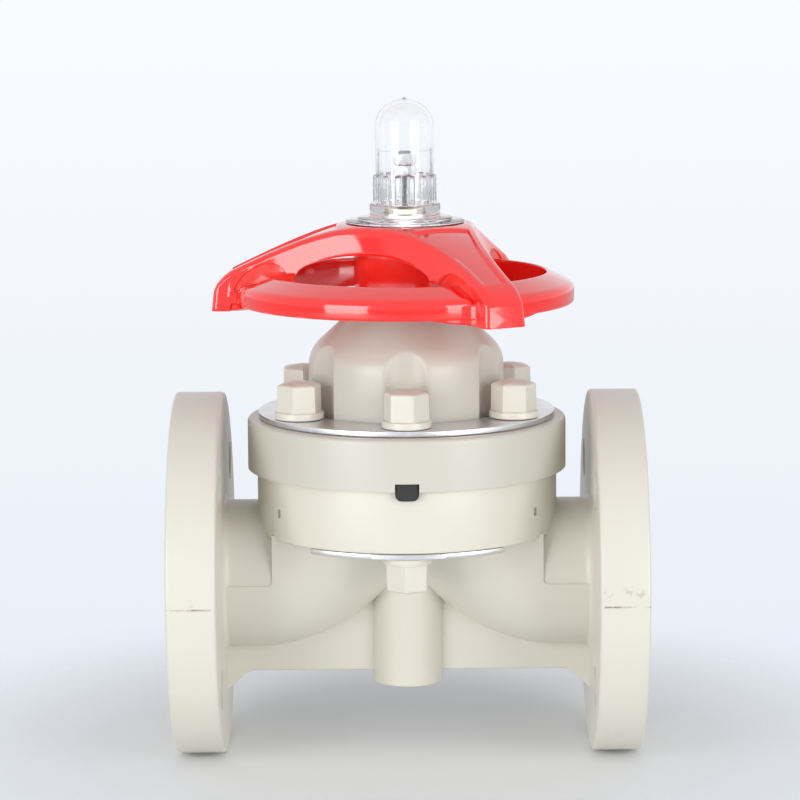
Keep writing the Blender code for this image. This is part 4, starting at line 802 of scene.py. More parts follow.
def make_nuts(look):
    """Nut over the handwheel and the two stop nuts on the indicator rod."""
    for node, across, hole, turn, body in NUTS:
        low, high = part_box(node)
        grid = spun(nut_grid(across, hole, high.z - low.z, NUT_CHAMFER), turn)
        grid[..., 2] += low.z
        data = solid(f"{node}_hexagon", grid, True, sharp=25)
        show(f"{node}_hexagon", data, look, body, "zinc_steel", node)


def make_rod(look):
    """Indicator rod: its radius follows a triangle wave that advances with the angle, one pitch a turn."""
    low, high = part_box("indicator_rod")
    rows = int((high.z - low.z) / ROD_PITCH * 8)
    z = np.linspace(low.z, high.z, rows)[:, None]
    a = angles(24)[None, :]
    phase = (z / ROD_PITCH - a / (2 * math.pi)) % 1.0
    depth = ROD_THREAD_DEPTH * np.abs(2 * phase - 1)
    ends = np.minimum(np.minimum(z - low.z, high.z - z), ROD_END) / ROD_END
    r = ROD_RADIUS - depth - ROD_END_DROP * (1 - ends)
    grid = np.stack([r * np.cos(a), r * np.sin(a), z + 0 * r], axis=-1)
    data = solid("threaded_rod", grid, caps=True)
    show("threaded_rod", data, look, "stem", "zinc_steel", "indicator_rod")


# Handwheel


def wheel_top(r):
    """Height of the star's top: flat on the hub, falling by a power of the distance, rounding down at the
    tips."""
    part = np.maximum(r - HUB_FLAT, 0) / (RIM_RADIUS - HUB_FLAT)
    tip = np.maximum(r - ARM_REACH + TIP_ROUND_REACH, 0) / TIP_ROUND_REACH
    return WHEEL_TOP_Z - ARM_FALL * part**ARM_FALL_POWER - TIP_ROUND_FALL * tip**2


def arm_half_width(a):
    """Half width of an arm: narrow near the tip, flaring by a power towards the waist, round at the tip's
    corners."""
    waist_along = WAIST_RADIUS / 2
    waist_width = WAIST_RADIUS * math.sqrt(3) / 2
    part = np.maximum(FLARE_START - a, 0) / (FLARE_START - waist_along)
    corner = np.maximum(a - ARM_REACH + ARM_CORNER, 0)
    width = ARM_HALF_WIDTH + (waist_width - ARM_HALF_WIDTH) * part**FLARE_POWER
    return width - ARM_CORNER + np.sqrt(np.maximum(ARM_CORNER**2 - corner**2, 0))


def skirt_low(a):
    """Lower edge of an arm's side wall: an arch beside the hub, a tooth, an elliptic arch and the tip's
    foot."""
    inner_part = ramp(a, TOOTH_INNER, WAIST_RADIUS / 2)
    climb = 0.25 * (1 - np.exp(-20 * inner_part)) + 0.75 * (1 - (1 - inner_part) ** 2.2)
    inner = TOOTH_Z + (WAIST_LOW_Z - TOOTH_Z) * climb
    tooth_part = ramp(a, TOOTH_OUTER, ARCH_CREST)
    tooth = TOOTH_Z + (ARCH_Z - TOOTH_Z) * (1 - (1 - tooth_part) ** 1.8)
    foot_part = ramp(a, ARCH_CREST, ARCH_FOOT)
    foot = TIP_Z + (ARCH_Z - TIP_Z) * np.sqrt(1 - foot_part**2.2)
    return np.where(a < TOOTH_INNER, inner, np.where(a < ARCH_CREST, tooth, foot))


def wall_lean(a, height):
    """Outward lean of an arm's side wall at its foot: a share of its height, fading to the tip's own
    flare."""
    last = ARM_REACH - SKIRT_REACH / 2
    grown = eased(ramp(a, WAIST_RADIUS / 2, WAIST_RADIUS * 1.5))
    left = eased(ramp(a, last, last - 2 * SKIRT_REACH))
    tip = ramp(a, ARM_REACH - SKIRT_REACH, last)
    return WALL_LEAN * height * grown * left + TIP_FLARE * tip


def panel_sink(a, offset):
    """Depth of the shallow panel: full inside its border, none outside, with a smooth step between."""
    side = ramp(offset, PANEL_BORDER, PANEL_BORDER + PANEL_STEP)
    start = ramp(a, PANEL_START, PANEL_START + PANEL_STEP)
    end = ramp(a, PANEL_END, PANEL_END - PANEL_STEP)
    return PANEL_DEPTH * eased(np.minimum(np.minimum(side, start), end))


def edge_drop(offset):
    """Drop of a rounded edge: a quarter circle over the edge's radius."""
    inside = np.clip(1 - offset / EDGE_ROUND, 0, 1)
    return EDGE_ROUND * (1 - np.sqrt(1 - inside**2))


def arm_rows():
    """Stations along an arm, close together where its form turns quickly."""
    step = PANEL_STEP * np.linspace(0, 1, 6)
    inner = np.linspace(WAIST_RADIUS / 2, TOOTH_INNER, 26)
    tooth = np.linspace(TOOTH_INNER, ARCH_CREST, 14)[1:]
    foot = ARCH_CREST + (ARCH_FOOT - ARCH_CREST) * np.sin(quarter(26)[1:])
    tip_start = ARM_REACH - WALL
    tip = [(ARCH_FOOT + tip_start) / 2, tip_start, tip_start + 0.02 * MM]
    end = ARM_REACH - ARM_CORNER * (1 - np.sin(quarter(9, 0.1)))
    return np.unique(np.concatenate([inner, tooth, foot, tip, end, PANEL_START + step, PANEL_END - step]))


def arm_offsets(width):
    """Distances from the side edge towards the middle line: rounded edge, panel's border, the rest."""
    edge = EDGE_ROUND * (1 - np.cos(quarter(6)))
    border = PANEL_BORDER + PANEL_STEP * np.linspace(0, 1, 6)
    start = border[-1]
    rest = start + (width - start)[:, None] * np.linspace(0, 1, 9)[None, 1:]
    fixed = np.concatenate([edge, border])[None, :] + 0 * width[:, None]
    return np.hstack([fixed, rest])


def arm_half_section(a):
    """Half of an arm's channel section at each station: from the middle of the top over the edge, down the
    wall, round its foot, up inside and along the underside back to the middle. Rows are stations, and the
    first row's wall is mitred on the line between two arms."""
    width = arm_half_width(a)
    slope = np.minimum(np.abs(np.gradient(width, a)), 1.0)
    lean = np.sqrt(1 + slope**2)[:, None]
    lean[a > ARM_REACH - 2 * ARM_CORNER] = 1.0
    a = a[:, None]
    width = width[:, None]
    offset = arm_offsets(width[:, 0])
    across = width - offset
    drop = edge_drop(np.minimum(offset / lean, np.maximum(ARM_REACH - a, 0)))
    top_z = wheel_top(np.hypot(a, across)) - drop - panel_sink(a, offset)
    edge_z = top_z[:, :1]
    low = skirt_low(a)
    flare = wall_lean(a, edge_z - low)
    down = np.linspace(0, 1, 7)[None, 1:]
    wall_p = width + flare * down
    wall_z = edge_z + (low + FOOT_EASE - edge_z) * down
    foot_p = width + flare - FOOT_EASE * np.array([[0.3, 1.0]])
    foot_z = low + FOOT_EASE * np.array([[0.3, 0.0]])
    thick = np.minimum(WALL * lean, 0.8 * width)
    under_p = (width - thick) * np.linspace(1, 0, across.shape[1])[None, :]
    under_z = np.maximum(wheel_top(np.hypot(a, under_p)) - WALL, low + 0.2 * MM)
    rise = np.linspace(0, 1, 4)[None, :-1]
    inner_p = width - thick + flare * (1 - rise)
    inner_z = low + (under_z[:, :1] - low) * rise
    solid_tip = a > ARM_REACH - WALL + 0.01 * MM
    inner_z = np.where(solid_tip, low, inner_z)
    under_z = np.where(solid_tip, low, under_z)
    p = np.hstack([across[:, ::-1], wall_p, foot_p, inner_p, under_p])
    z = np.hstack([top_z[:, ::-1], wall_z, foot_z, inner_z, under_z])
    share = np.clip((edge_z - z) / (edge_z - low), 0, 1)
    outward = np.clip((a - ARM_REACH + 2 * WALL) / (2 * WALL), 0, 1)
    along = a + flare * share * outward
    wall_start = across.shape[1]
    waist = p[0, wall_start:] / width[0]
    waist[-across.shape[1]:] = waist[-across.shape[1]]
    along[0, wall_start:] *= waist
    return np.stack([along, p, z], axis=-1)


def mirrored(half):
    """Closed ring of a section: the half, then its mirror image back again."""
    other = half[:, ::-1] * (1, -1, 1)
    return np.concatenate([half, other[:, 1:-1]], axis=1)


def whole_row(half_row):
    """Row of points right across an arm, from one half that starts or ends at the middle line."""
    outward = half_row if abs(half_row[0, 1]) < abs(half_row[-1, 1]) else half_row[::-1]
    return np.concatenate([outward[::-1] * (1, -1, 1), outward[1:]])


def hub_sheet(row, drop):
    """Sheet from the round hole in the hub to one row of points across an arm's root, at the wheel's top
    height less a drop. Its sides lie on the lines between two arms."""
    bearing = np.arctan2(row[:, 1], row[:, 0])
    arc = HUB_HOLE * np.column_stack([np.cos(bearing), np.sin(bearing)])
    t = np.linspace(0, 1, 12)[:, None, None]
    plan = arc[None] * (1 - t) + row[None, :, :2] * t
    r = np.hypot(plan[..., 0], plan[..., 1])
    z = wheel_top(r) - drop - (edge_drop(0.8 * (WAIST_RADIUS - r)) if drop == 0 else 0)
    z[-1] = row[:, 2]
    return np.concatenate([plan, z[..., None]], axis=-1)


def make_handwheel(look):
    """Star-shaped shell with arched walls, solid hub, grip rim and concave webs between tips and rim."""
    half = arm_half_section(arm_rows())
    columns = arm_offsets(np.array([ARM_HALF_WIDTH])).shape[1]
    top = hub_sheet(whole_row(half[0, :columns]), 0)
    under = hub_sheet(whole_row(half[0, -columns:]), WALL)
    hole = np.stack([top[0], under[0]])
    ring = mirrored(half)
    last = ring[-1:]
    tip = np.concatenate([last, last * 0 + last.mean(axis=1, keepdims=True)])
    shell = Shell()
    for azimuth in ARM_AZIMUTHS:
        shell.add(spun(ring, azimuth)).add(spun(tip, azimuth))
        for sheet in (top, under, hole):
            shell.add(spun(sheet, azimuth), wrap_columns=False)
    shell.add(wheel_hub(), True).add(turned(rim_profile(), 216), True)
    band_top = WHEEL_Z + RIM_BAND - RIM_EDGE / 2
    for azimuth in ARM_AZIMUTHS:
        shell.add(spun(arm_core(), azimuth), caps=True)
        for side in (-1, 1):
            shell.add(spun(tip_web(side, TIP_FILLET, 0, WHEEL_Z, band_top), azimuth), caps=True)
            wedge = tip_web(side, TIP_WEDGE, TIP_WEDGE_INSET, TIP_Z, WHEEL_Z + RIM_EDGE)
            shell.add(spun(wedge, azimuth), caps=True)
    show("star_handwheel", shell.mesh("star_handwheel"), look, "wheel", "red_plastic", "handwheel")


def wheel_hub():
    """Solid hub under the star, bored for the sleeve, with a recess for the nut and a little draft."""
    recess, high = WHEEL_TOP_Z - HUB_RECESS, WHEEL_TOP_Z - WALL / 2
    hole = HUB_HOLE - HUB_LAP
    corners = [
        (HUB_BORE, WHEEL_Z),
        (HUB_RADIUS, WHEEL_Z),
        (HUB_RADIUS + HUB_DRAFT, high),
        (hole, high),
        (hole, recess),
        (HUB_BORE, recess),
    ]
    return turned(rounded(corners, [0, HUB_EDGE, 0, 0, 0, 0], 4), 96)


def rim_profile():
    """Grip rim: upright band outside, top sloping up to the inner lip, hollow below, every edge rounded."""
    outer, inner = RIM_RADIUS, RIM_RADIUS - RIM_WIDTH
    low, high = WHEEL_Z, WHEEL_Z + RIM_HEIGHT
    corners = [
        (outer, low),
        (outer, low + RIM_BAND + RIM_EDGE / 2),
        (inner, high),
        (inner, low),
        (inner + WALL, low),
        (inner + WALL, high - RIM_EDGE - WALL),
        (outer - WALL, low + RIM_BAND - RIM_EDGE),
        (outer - WALL, low),
    ]
    return rounded(corners, RIM_ROUNDS, 6)


def web_path(length, inset):
    """Plan curve beside an arm: a quadratic curve from the tip round to the rim, then the rim's circle."""
    half = ARM_HALF_WIDTH - CORE_RECESS - inset
    radius = RIM_RADIUS - WEB_INSET - inset
    first = math.asin((half + TIP_FILLET) / radius)
    last = math.asin((half + length) / radius)
    start = np.array([ARM_REACH - ARM_CORNER, half])
    corner = np.array([math.sqrt(radius**2 - half**2), half])
    end = radius * np.array([math.cos(first), math.sin(first)])
    t = np.linspace(0, 1, 15)[:, None]
    curve = quadratic(start, corner, end, t)
    bearing = np.linspace(first, last, 9)[1:]
    circle = radius * np.column_stack([np.cos(bearing), np.sin(bearing)])
    return np.concatenate([curve, circle]) if length > TIP_FILLET else curve


def tip_web(side, length, inset, foot, high):
    """Concave web between an arm's tip and the rim, its lower edge rising to the rim by the square of its
    length."""
    outside = web_path(length, inset)
    inside = web_path(length, inset + WALL)
    t = np.linspace(0, 1, len(outside))[:, None]
    low = foot + (WHEEL_Z - foot) * t**2
    high = high + 0 * t
    ease = RIM_EDGE / 2
    edge = outside + (inside - outside) * ease / WALL
    ring = [(edge, low), (outside, low + ease), (outside, high - ease)]
    ring += [(edge, high), (inside, high), (inside, low)]
    return np.stack([np.hstack(line) for line in ring], axis=1) * (1, side, 1)


def arm_core():
    """Solid upright core of an arm from its tooth to its tip, set back behind the arches of its walls."""
    turn = CORE_START + CORE_ROUND * (1 - np.cos(quarter(6)))
    a = np.concatenate([turn, np.linspace(turn[-1], ARM_REACH - ARM_CORNER, 14)[1:]])
    corner = np.maximum(CORE_START + CORE_ROUND - a, 0)
    inset = CORE_ROUND - np.sqrt(np.maximum(CORE_ROUND**2 - corner**2, 0))
    width = arm_half_width(a) - CORE_RECESS - inset
    low = np.where(a > RIM_RADIUS, TIP_Z + FOOT_EASE, WHEEL_Z + FOOT_EASE)
    high = wheel_top(np.hypot(a, width)) - WALL / 2
    ring = [(a, -width, low), (a, width, low), (a, width, high), (a, -width, high)]
    return np.stack([np.column_stack(line) for line in ring], axis=1)


# Clear cover


def make_cover(look):
    """Clear dome: thin base flange, step, collar, ribbed grip and elliptic top with the mark of its gate,
    and an inner wall with one small ledge. A rib raises the radius near its own middle, along the arc."""
    base = cover_low.z
    top_z = cover_high.z - COVER_GATE
    dome_z = top_z - COVER_DOME_RISE
    collar_z = base + COVER_COLLAR
    rib_top = base + COVER_RIB_TOP
    bore = COVER_RADIUS - COVER_WALL
    corners = [
        (bore, base),
        (COVER_BASE_RADIUS, base),
        (COVER_BASE_RADIUS, base + COVER_BASE_EDGE),
        (COVER_STEP_RADIUS, base + COVER_BASE_EDGE),
        (COVER_STEP_RADIUS, base + COVER_STEP),
        (COVER_COLLAR_RADIUS, base + COVER_STEP),
        (COVER_COLLAR_RADIUS, collar_z),
        (COVER_RADIUS, collar_z),
    ]
    lower = rounded(corners, COVER_ROUNDS, 4)
    ribbed = np.linspace(collar_z + COVER_WALL_START, rib_top, 24)
    heights = np.concatenate([ribbed, np.linspace(rib_top, dome_z, 12)[1:]])
    wall = np.column_stack([np.full(len(heights), COVER_RADIUS), heights])
    gate = COVER_GATE
    a = np.linspace(0, math.acos(gate / COVER_RADIUS), 22)[1:]
    dome = np.column_stack([COVER_RADIUS * np.cos(a), dome_z + COVER_DOME_RISE * np.sin(a)])
    nub = [(0.8 * gate, top_z + 0.6 * gate), (0.5 * gate, top_z + 0.8 * gate), (0, top_z + 0.85 * gate)]
    outer = np.vstack([lower, wall, dome, nub])
    upper_bore = bore - COVER_INNER_STEP
    ledge = (rib_top + dome_z) / 2
    a = np.linspace(math.pi / 2, 0, 22)
    inner_rise = COVER_DOME_RISE - COVER_WALL
    inside = np.column_stack([upper_bore * np.cos(a), dome_z + inner_rise * np.sin(a)])
    inner = np.vstack([inside, [(upper_bore, ledge), (bore, ledge - COVER_INNER_STEP), (bore, base)]])
    grid = turned(np.vstack([outer, inner]), COVER_RIBS * 24)
    pitch = 2 * math.pi / COVER_RIBS
    turn = np.arctan2(grid[..., 1], grid[..., 0])
    away = np.abs((turn + pitch / 2) % pitch - pitch / 2) * COVER_RADIUS
    wave = np.clip((COVER_RIB_WIDTH / 2 - away) / COVER_RIB_FLANK + 0.5, 0, 1)
    z = grid[..., 2]
    band = ramp(z, collar_z, collar_z + COVER_RIB_START) * ramp(z, rib_top, rib_top - COVER_RIB_END)
    is_outer = (np.arange(len(grid)) < len(lower) + len(wall))[:, None]
    rise = COVER_RIB_RISE * eased(wave) * band * is_outer
    radius = np.hypot(grid[..., 0], grid[..., 1])
    grid[..., :2] *= (1 + rise / np.maximum(radius, 1e-6))[..., None]
    show("clear_cover", solid("clear_cover", grid), look, "wheel", "clear_plastic", "indicator_cover")


# Rubber


def make_diaphragm(look):
    """Rubber disc that hangs as a bowl from its clamped rim down to the stud's height: sag 1 - (r / bend)^2.
    """
    rim_low, rim_top = BONNET_BASE_Z + DISC_LOW, BONNET_BASE_Z + DISC_TOP
    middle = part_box("diaphragm_stud")[0].z - DISC_LAP
    free = np.linspace(0, DISC_BEND_RADIUS, 24)
    r = np.concatenate([free, np.linspace(DISC_CLAMP_START, DISC_RADIUS, 8)]) * MM
    share = np.clip(r / (DISC_BEND_RADIUS * MM), 0, 1)
    sag = (rim_low - middle) * (1 - share**2)
    upper = np.column_stack([r, rim_top - sag])
    lower = np.column_stack([r, rim_low - sag])
    data = solid("rubber_diaphragm", turned(np.vstack([lower, upper[::-1]]), 96))
    made = show("rubber_diaphragm", data, look, None, "black_rubber", "diaphragm")
    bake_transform(made)


def make_tab(look):
    """Ear of the diaphragm that shows in the joint at the front: a face with round corners, drawn back."""
    half, front = TAB_HALF_WIDTH, -RING_RADIUS + TAB_SETBACK
    low, high = SEAT_Z - TAB_DROP, BONNET_BASE_Z + TAB_RISE
    corners = [(-half, high), (-half, low), (half, low), (half, high)]
    face = rounded(corners, [TAB_TOP_ROUND, TAB_CORNER, TAB_CORNER, TAB_TOP_ROUND], 5)
    centre = face.mean(axis=0)
    rings = []
    back = -BARREL_RADIUS + TAB_SETBACK
    for y, size in ((front, 0.92), (front + TAB_EDGE, 1.0), (back, 1.0)):
        ring = centre + (face - centre) * size
        rings.append(np.column_stack([ring[:, 0], np.full(len(ring), y), ring[:, 1]]))
    data = solid("rubber_tab", np.array(rings), caps=True)
    show("rubber_tab", data, look, "body", "black_rubber", "diaphragm")


def make_seal(look):
    """Round rubber ring in the sleeve's groove: a circle carried round the stem axis."""
    low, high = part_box("sleeve_seal")
    thick = (high.z - low.z) / 2
    a = angles(24)
    r, z = high.y - thick, (low.z + high.z) / 2
    profile = np.column_stack([r + thick * np.cos(a), z + thick * np.sin(a)])
    data = solid("ring_seal", turned(profile, 96), True)
    show("ring_seal", data, look, "body", "black_rubber", "sleeve_seal")


# Materials


def node_group(name, inputs, outputs):
    """Empty shader group with float or colour sockets and its two ends."""
    group = bpy.data.node_groups.new(name, "ShaderNodeTree")
    for label, kind, value in inputs:
        made = group.interface.new_socket(label, in_out="INPUT", socket_type=kind)
        made.default_value = value
    for label, kind in outputs:
        group.interface.new_socket(label, in_out="OUTPUT", socket_type=kind)
    return group, group.nodes.new("NodeGroupInput"), group.nodes.new("NodeGroupOutput")


def math_node(tree, operation, first, second=None, clamp=False):
    """Result of one sum on sockets or plain numbers."""
    made = tree.nodes.new("ShaderNodeMath")
    made.operation = operation
    made.use_clamp = clamp
    for socket, value in zip(made.inputs, (first, second)):
        if isinstance(value, bpy.types.NodeSocket):
            tree.links.new(value, socket)
        elif value is not None:
            socket.default_value = value
    return made.outputs[0]


def noise(tree, vector, scale, detail, roughness):
    """Noise value at a place."""
    made = tree.nodes.new("ShaderNodeTexNoise")
    made.inputs["Detail"].default_value = detail
    made.inputs["Roughness"].default_value = roughness
    if isinstance(scale, bpy.types.NodeSocket):
        tree.links.new(scale, made.inputs["Scale"])
    else:
        made.inputs["Scale"].default_value = scale
    tree.links.new(vector, made.inputs["Vector"])
    return made.outputs["Fac"]


def moulded_surface():
    """Fine moulding grain and broad cloudiness of plastic, from noise in object space."""
    floats = "NodeSocketFloat"
    inputs = [("Grain Scale", floats, 1800.0), ("Cloud Scale", floats, 22.0)]
    group, start, end = node_group("Moulded Surface", inputs, [("Grain", floats), ("Cloud", floats)])
    place = group.nodes.new("ShaderNodeTexCoord").outputs["Object"]
    group.links.new(noise(group, place, start.outputs["Grain Scale"], 2.0, 0.6), end.inputs["Grain"])
    group.links.new(noise(group, place, start.outputs["Cloud Scale"], 4.0, 0.55), end.inputs["Cloud"])
    return group


def closeness(tree, distance, width):
    """1 at no distance, falling to 0 at a width."""
    part = math_node(tree, "DIVIDE", math_node(tree, "ABSOLUTE", distance), width)
    return math_node(tree, "SUBTRACT", 1.0, part, clamp=True)


def patches(tree, place, texture, level, gain):
    """Patches where noise (scale, detail, roughness) is over a level."""
    over = math_node(tree, "SUBTRACT", noise(tree, place, *texture), level)
    return math_node(tree, "MULTIPLY", over, gain, clamp=True)


def parting_line():
    """Grime on the flange rims: a thin broken line at the parting height and a few smudges above it."""
    floats = "NodeSocketFloat"
    inputs = [("Level", floats, 0.0), ("Width", floats, 0.6 * MM), ("Reach", floats, 0.0)]
    inputs += [("Smudge", floats, 8 * MM)]
    group, start, end = node_group("Parting Line", inputs, [("Mask", floats), ("Smudges", floats)])
    place = group.nodes.new("ShaderNodeTexCoord").outputs["Object"]
    split = group.nodes.new("ShaderNodeSeparateXYZ")
    group.links.new(place, split.inputs[0])
    along = math_node(group, "ABSOLUTE", split.outputs["X"])
    flange = math_node(group, "GREATER_THAN", along, start.outputs["Reach"])
    height = math_node(group, "SUBTRACT", split.outputs["Z"], start.outputs["Level"])
    band = closeness(group, height, start.outputs["Width"])
    line = math_node(group, "MULTIPLY", band, patches(group, place, (90.0, 5.0, 0.7), 0.40, 6.0))
    group.links.new(math_node(group, "MULTIPLY", line, flange), end.inputs["Mask"])
    above = math_node(group, "SUBTRACT", height, start.outputs["Smudge"])
    above = closeness(group, above, start.outputs["Smudge"])
    spots = math_node(group, "MULTIPLY", patches(group, place, (140.0, 3.0, 0.6), 0.62, 7.0), above)
    group.links.new(math_node(group, "MULTIPLY", spots, flange), end.inputs["Smudges"])
    return group


def edge_wear_and_highlight():
    """Rubbed edges and painted edge highlights: where the surface is convex, broken up by noise. Worn metal
    on the steel parts, a painted highlight along the red plastic's edges.
    """
    floats = "NodeSocketFloat"
    group, start, end = node_group("Edge Wear And Highlight", [("Start", floats, 0.53)], [("Mask", floats)])
    place = group.nodes.new("ShaderNodeTexCoord").outputs["Object"]
    bend = group.nodes.new("ShaderNodeNewGeometry").outputs["Pointiness"]
    raised = math_node(group, "SUBTRACT", bend, start.outputs["Start"])
    raised = math_node(group, "MULTIPLY", raised, 14.0, clamp=True)
    broken = noise(group, place, 160.0, 4.0, 0.6)
    group.links.new(math_node(group, "MULTIPLY", raised, broken), end.inputs["Mask"])
    return group


def placed(tree, group, **values):
    """Shared group set down in a material, with its values."""
    made = tree.nodes.new("ShaderNodeGroup")
    made.node_tree = group
    for label, value in values.items():
        made.inputs[label.replace("_", " ")].default_value = value
    return made


def blank(name, colour, roughness, metallic=0.0):
    """Plain material, its node tree and its shader."""
    look = bpy.data.materials.new(name)
    look.use_nodes = True
    shader = look.node_tree.nodes["Principled BSDF"]
    shader.inputs["Base Color"].default_value = (*colour, 1)
    shader.inputs["Roughness"].default_value = roughness
    shader.inputs["Metallic"].default_value = metallic
    return look, look.node_tree, shader


def mixed(tree, factor, first, second):
    """Mix of two colours or colour sockets."""
    made = tree.nodes.new("ShaderNodeMix")
    made.data_type = "RGBA"
    tree.links.new(factor, made.inputs["Factor"])
    for socket, value in ((made.inputs["A"], first), (made.inputs["B"], second)):
        if isinstance(value, bpy.types.NodeSocket):
            tree.links.new(value, socket)
        else:
            socket.default_value = (*value, 1)
    return made.outputs["Result"]


def ranged(tree, value, low, high, start=0.0, end=1.0, kind="LINEAR"):
    """Value from a start to an end, mapped from low to high."""
    made = tree.nodes.new("ShaderNodeMapRange")
    made.interpolation_type = kind
    tree.links.new(value, made.inputs["Value"])
    for label, number in (("From Min", start), ("From Max", end), ("To Min", low), ("To Max", high)):
        made.inputs[label].default_value = number
    return made.outputs["Result"]


def bumped(tree, shader, height, distance, strength):
    """Fine relief on a shader's normal."""
    made = tree.nodes.new("ShaderNodeBump")
    made.inputs["Distance"].default_value = distance
    made.inputs["Strength"].default_value = strength
    tree.links.new(height, made.inputs["Height"])
    tree.links.new(made.outputs["Normal"], shader.inputs["Normal"])


def grey_plastic(name, moulded, shade=1.0, parting=None):
    """Warm light grey moulded plastic with a satin grain, faint clouding and grime along its parting line."""
    look, tree, shader = blank(name, (0.72, 0.70, 0.61), 0.42)
    surface = placed(tree, moulded, Grain_Scale=1500.0, Cloud_Scale=16.0)
    dark, pale = (tuple(shade * value for value in tone) for tone in (GREY_DARK, GREY_PALE))
    colour = mixed(tree, surface.outputs["Cloud"], dark, pale)
    if parting:
        reach = FACE_HALF - FLANGE_THICKNESS + FLANGE_EDGE
        line = placed(tree, parting, Level=AXIS_Z, Width=0.6 * MM, Reach=reach, Smudge=5 * MM)
        colour = mixed(tree, line.outputs["Smudges"], colour, SMUDGE_COLOUR)
        colour = mixed(tree, line.outputs["Mask"], colour, GRIME_COLOUR)
    tree.links.new(colour, shader.inputs["Base Color"])
    tree.links.new(ranged(tree, surface.outputs["Grain"], 0.26, 0.38), shader.inputs["Roughness"])
    bumped(tree, shader, surface.outputs["Grain"], 0.00006, 0.4)
    return look


def red_plastic(moulded, wear_and_highlight):
    """Bright red glossy plastic with soft moulding waves and a painted highlight: slightly paler red along
    convex edges.
    """
    look, tree, shader = blank("red_plastic", (0.90, 0.04, 0.03), 0.2)
    surface = placed(tree, moulded, Grain_Scale=900.0, Cloud_Scale=14.0)
    edges_worn_and_lit = placed(tree, wear_and_highlight, Start=0.54)
    colour = mixed(tree, surface.outputs["Cloud"], RED_DEEP, RED_BRIGHT)
    # Painted highlight: paler red on convex edges, where they would catch light
    colour = mixed(tree, edges_worn_and_lit.outputs["Mask"], colour, RED_EDGE_HIGHLIGHT)
    tree.links.new(colour, shader.inputs["Base Color"])
    tree.links.new(ranged(tree, surface.outputs["Cloud"], 0.07, 0.13), shader.inputs["Roughness"])
    shader.inputs["Coat Weight"].default_value = 0.7
    shader.inputs["Coat Roughness"].default_value = 0.06
    bumped(tree, shader, surface.outputs["Cloud"], 0.0004, 0.12)
    return look


def zinc_steel(name, moulded, wear_and_highlight, tone, roughness):
    """Zinc-plated steel: mottled plating, fine scratches and brighter edges."""
    look, tree, shader = blank(name, tone, roughness, 1.0)
    surface = placed(tree, moulded, Grain_Scale=700.0, Cloud_Scale=60.0)
    edges_worn_and_lit = placed(tree, wear_and_highlight, Start=0.52)
    dark = tuple(0.72 * value for value in tone)
    colour = mixed(tree, surface.outputs["Cloud"], dark, tone)
    colour = mixed(tree, edges_worn_and_lit.outputs["Mask"], colour, WORN_METAL)
    tree.links.new(colour, shader.inputs["Base Color"])
    low, high = roughness - 0.08, roughness + 0.14
    tree.links.new(ranged(tree, surface.outputs["Grain"], low, high), shader.inputs["Roughness"])
    bumped(tree, shader, surface.outputs["Grain"], 0.00005, 0.6)
    return look


def black_rubber(moulded):
    """Dull black rubber with a dusty bloom."""
    look, tree, shader = blank("black_rubber", (0.012, 0.012, 0.012), 0.6)
    surface = placed(tree, moulded, Grain_Scale=1200.0, Cloud_Scale=120.0)
    colour = mixed(tree, surface.outputs["Cloud"], RUBBER_DARK, RUBBER_PALE)
    tree.links.new(colour, shader.inputs["Base Color"])
    tree.links.new(ranged(tree, surface.outputs["Grain"], 0.5, 0.7), shader.inputs["Roughness"])
    bumped(tree, shader, surface.outputs["Grain"], 0.00008, 0.6)
    return look


def clear_plastic(moulded):
    """Clear moulded plastic, slightly wavy."""
    look, tree, shader = blank("clear_plastic", CLEAR_TINT, 0.03)
    shader.inputs["Transmission Weight"].default_value = 1.0
    shader.inputs["IOR"].default_value = CLEAR_IOR
    surface = placed(tree, moulded, Grain_Scale=400.0, Cloud_Scale=60.0)
    tree.links.new(ranged(tree, surface.outputs["Cloud"], 0.01, 0.06), shader.inputs["Roughness"])
    bumped(tree, shader, surface.outputs["Cloud"], 0.0003, 0.15)
    return look


def dress_hidden_nodes(looks):
    """Inner CAD pieces keep their shapes and take a finish by their slot in the record."""
    slots = {part["node"]: part["material_slot"] for part in frame["record"]["subparts"]}
    for name, node in nodes.items():
        node.data.materials.clear()
        node.data.materials.append(looks[slots[name]])


# Stage


def soft_light(name, place, size, energy):
    """Rectangular lamp aimed at the valve's middle."""
    lamp = bpy.data.lights.new(name, "AREA")
    lamp.shape = "RECTANGLE"
    lamp.size, lamp.size_y = size
    lamp.energy = energy
    made = bpy.data.objects.new(name, lamp)
    bpy.context.scene.collection.objects.link(made)
    made.location = place
    made.rotation_mode = "QUATERNION"
    made.rotation_quaternion = (Vector(LAMP_TARGET) - Vector(place)).to_track_quat("-Z", "Y")


def seen_background(tree, seen, lit):
    """Factor that is 1 for camera, mirror and glass rays, so that they see the pale backdrop."""
    path = tree.nodes.new("ShaderNodeLightPath")
    either = math_node(tree, "MAXIMUM", path.outputs["Is Camera Ray"], path.outputs["Is Glossy Ray"])
    either = math_node(tree, "MAXIMUM", either, path.outputs["Is Transmission Ray"])
    made = tree.nodes.new("ShaderNodeMixShader")
    tree.links.new(either, made.inputs[0])
    tree.links.new(lit, made.inputs[1])
    tree.links.new(seen, made.inputs[2])
    return made.outputs[0]


def background(tree, colour, strength):
    """Even light from all around."""
    made = tree.nodes.new("ShaderNodeBackground")
    made.inputs["Color"].default_value = (*colour, 1)
    made.inputs["Strength"].default_value = strength
    return made.outputs[0]


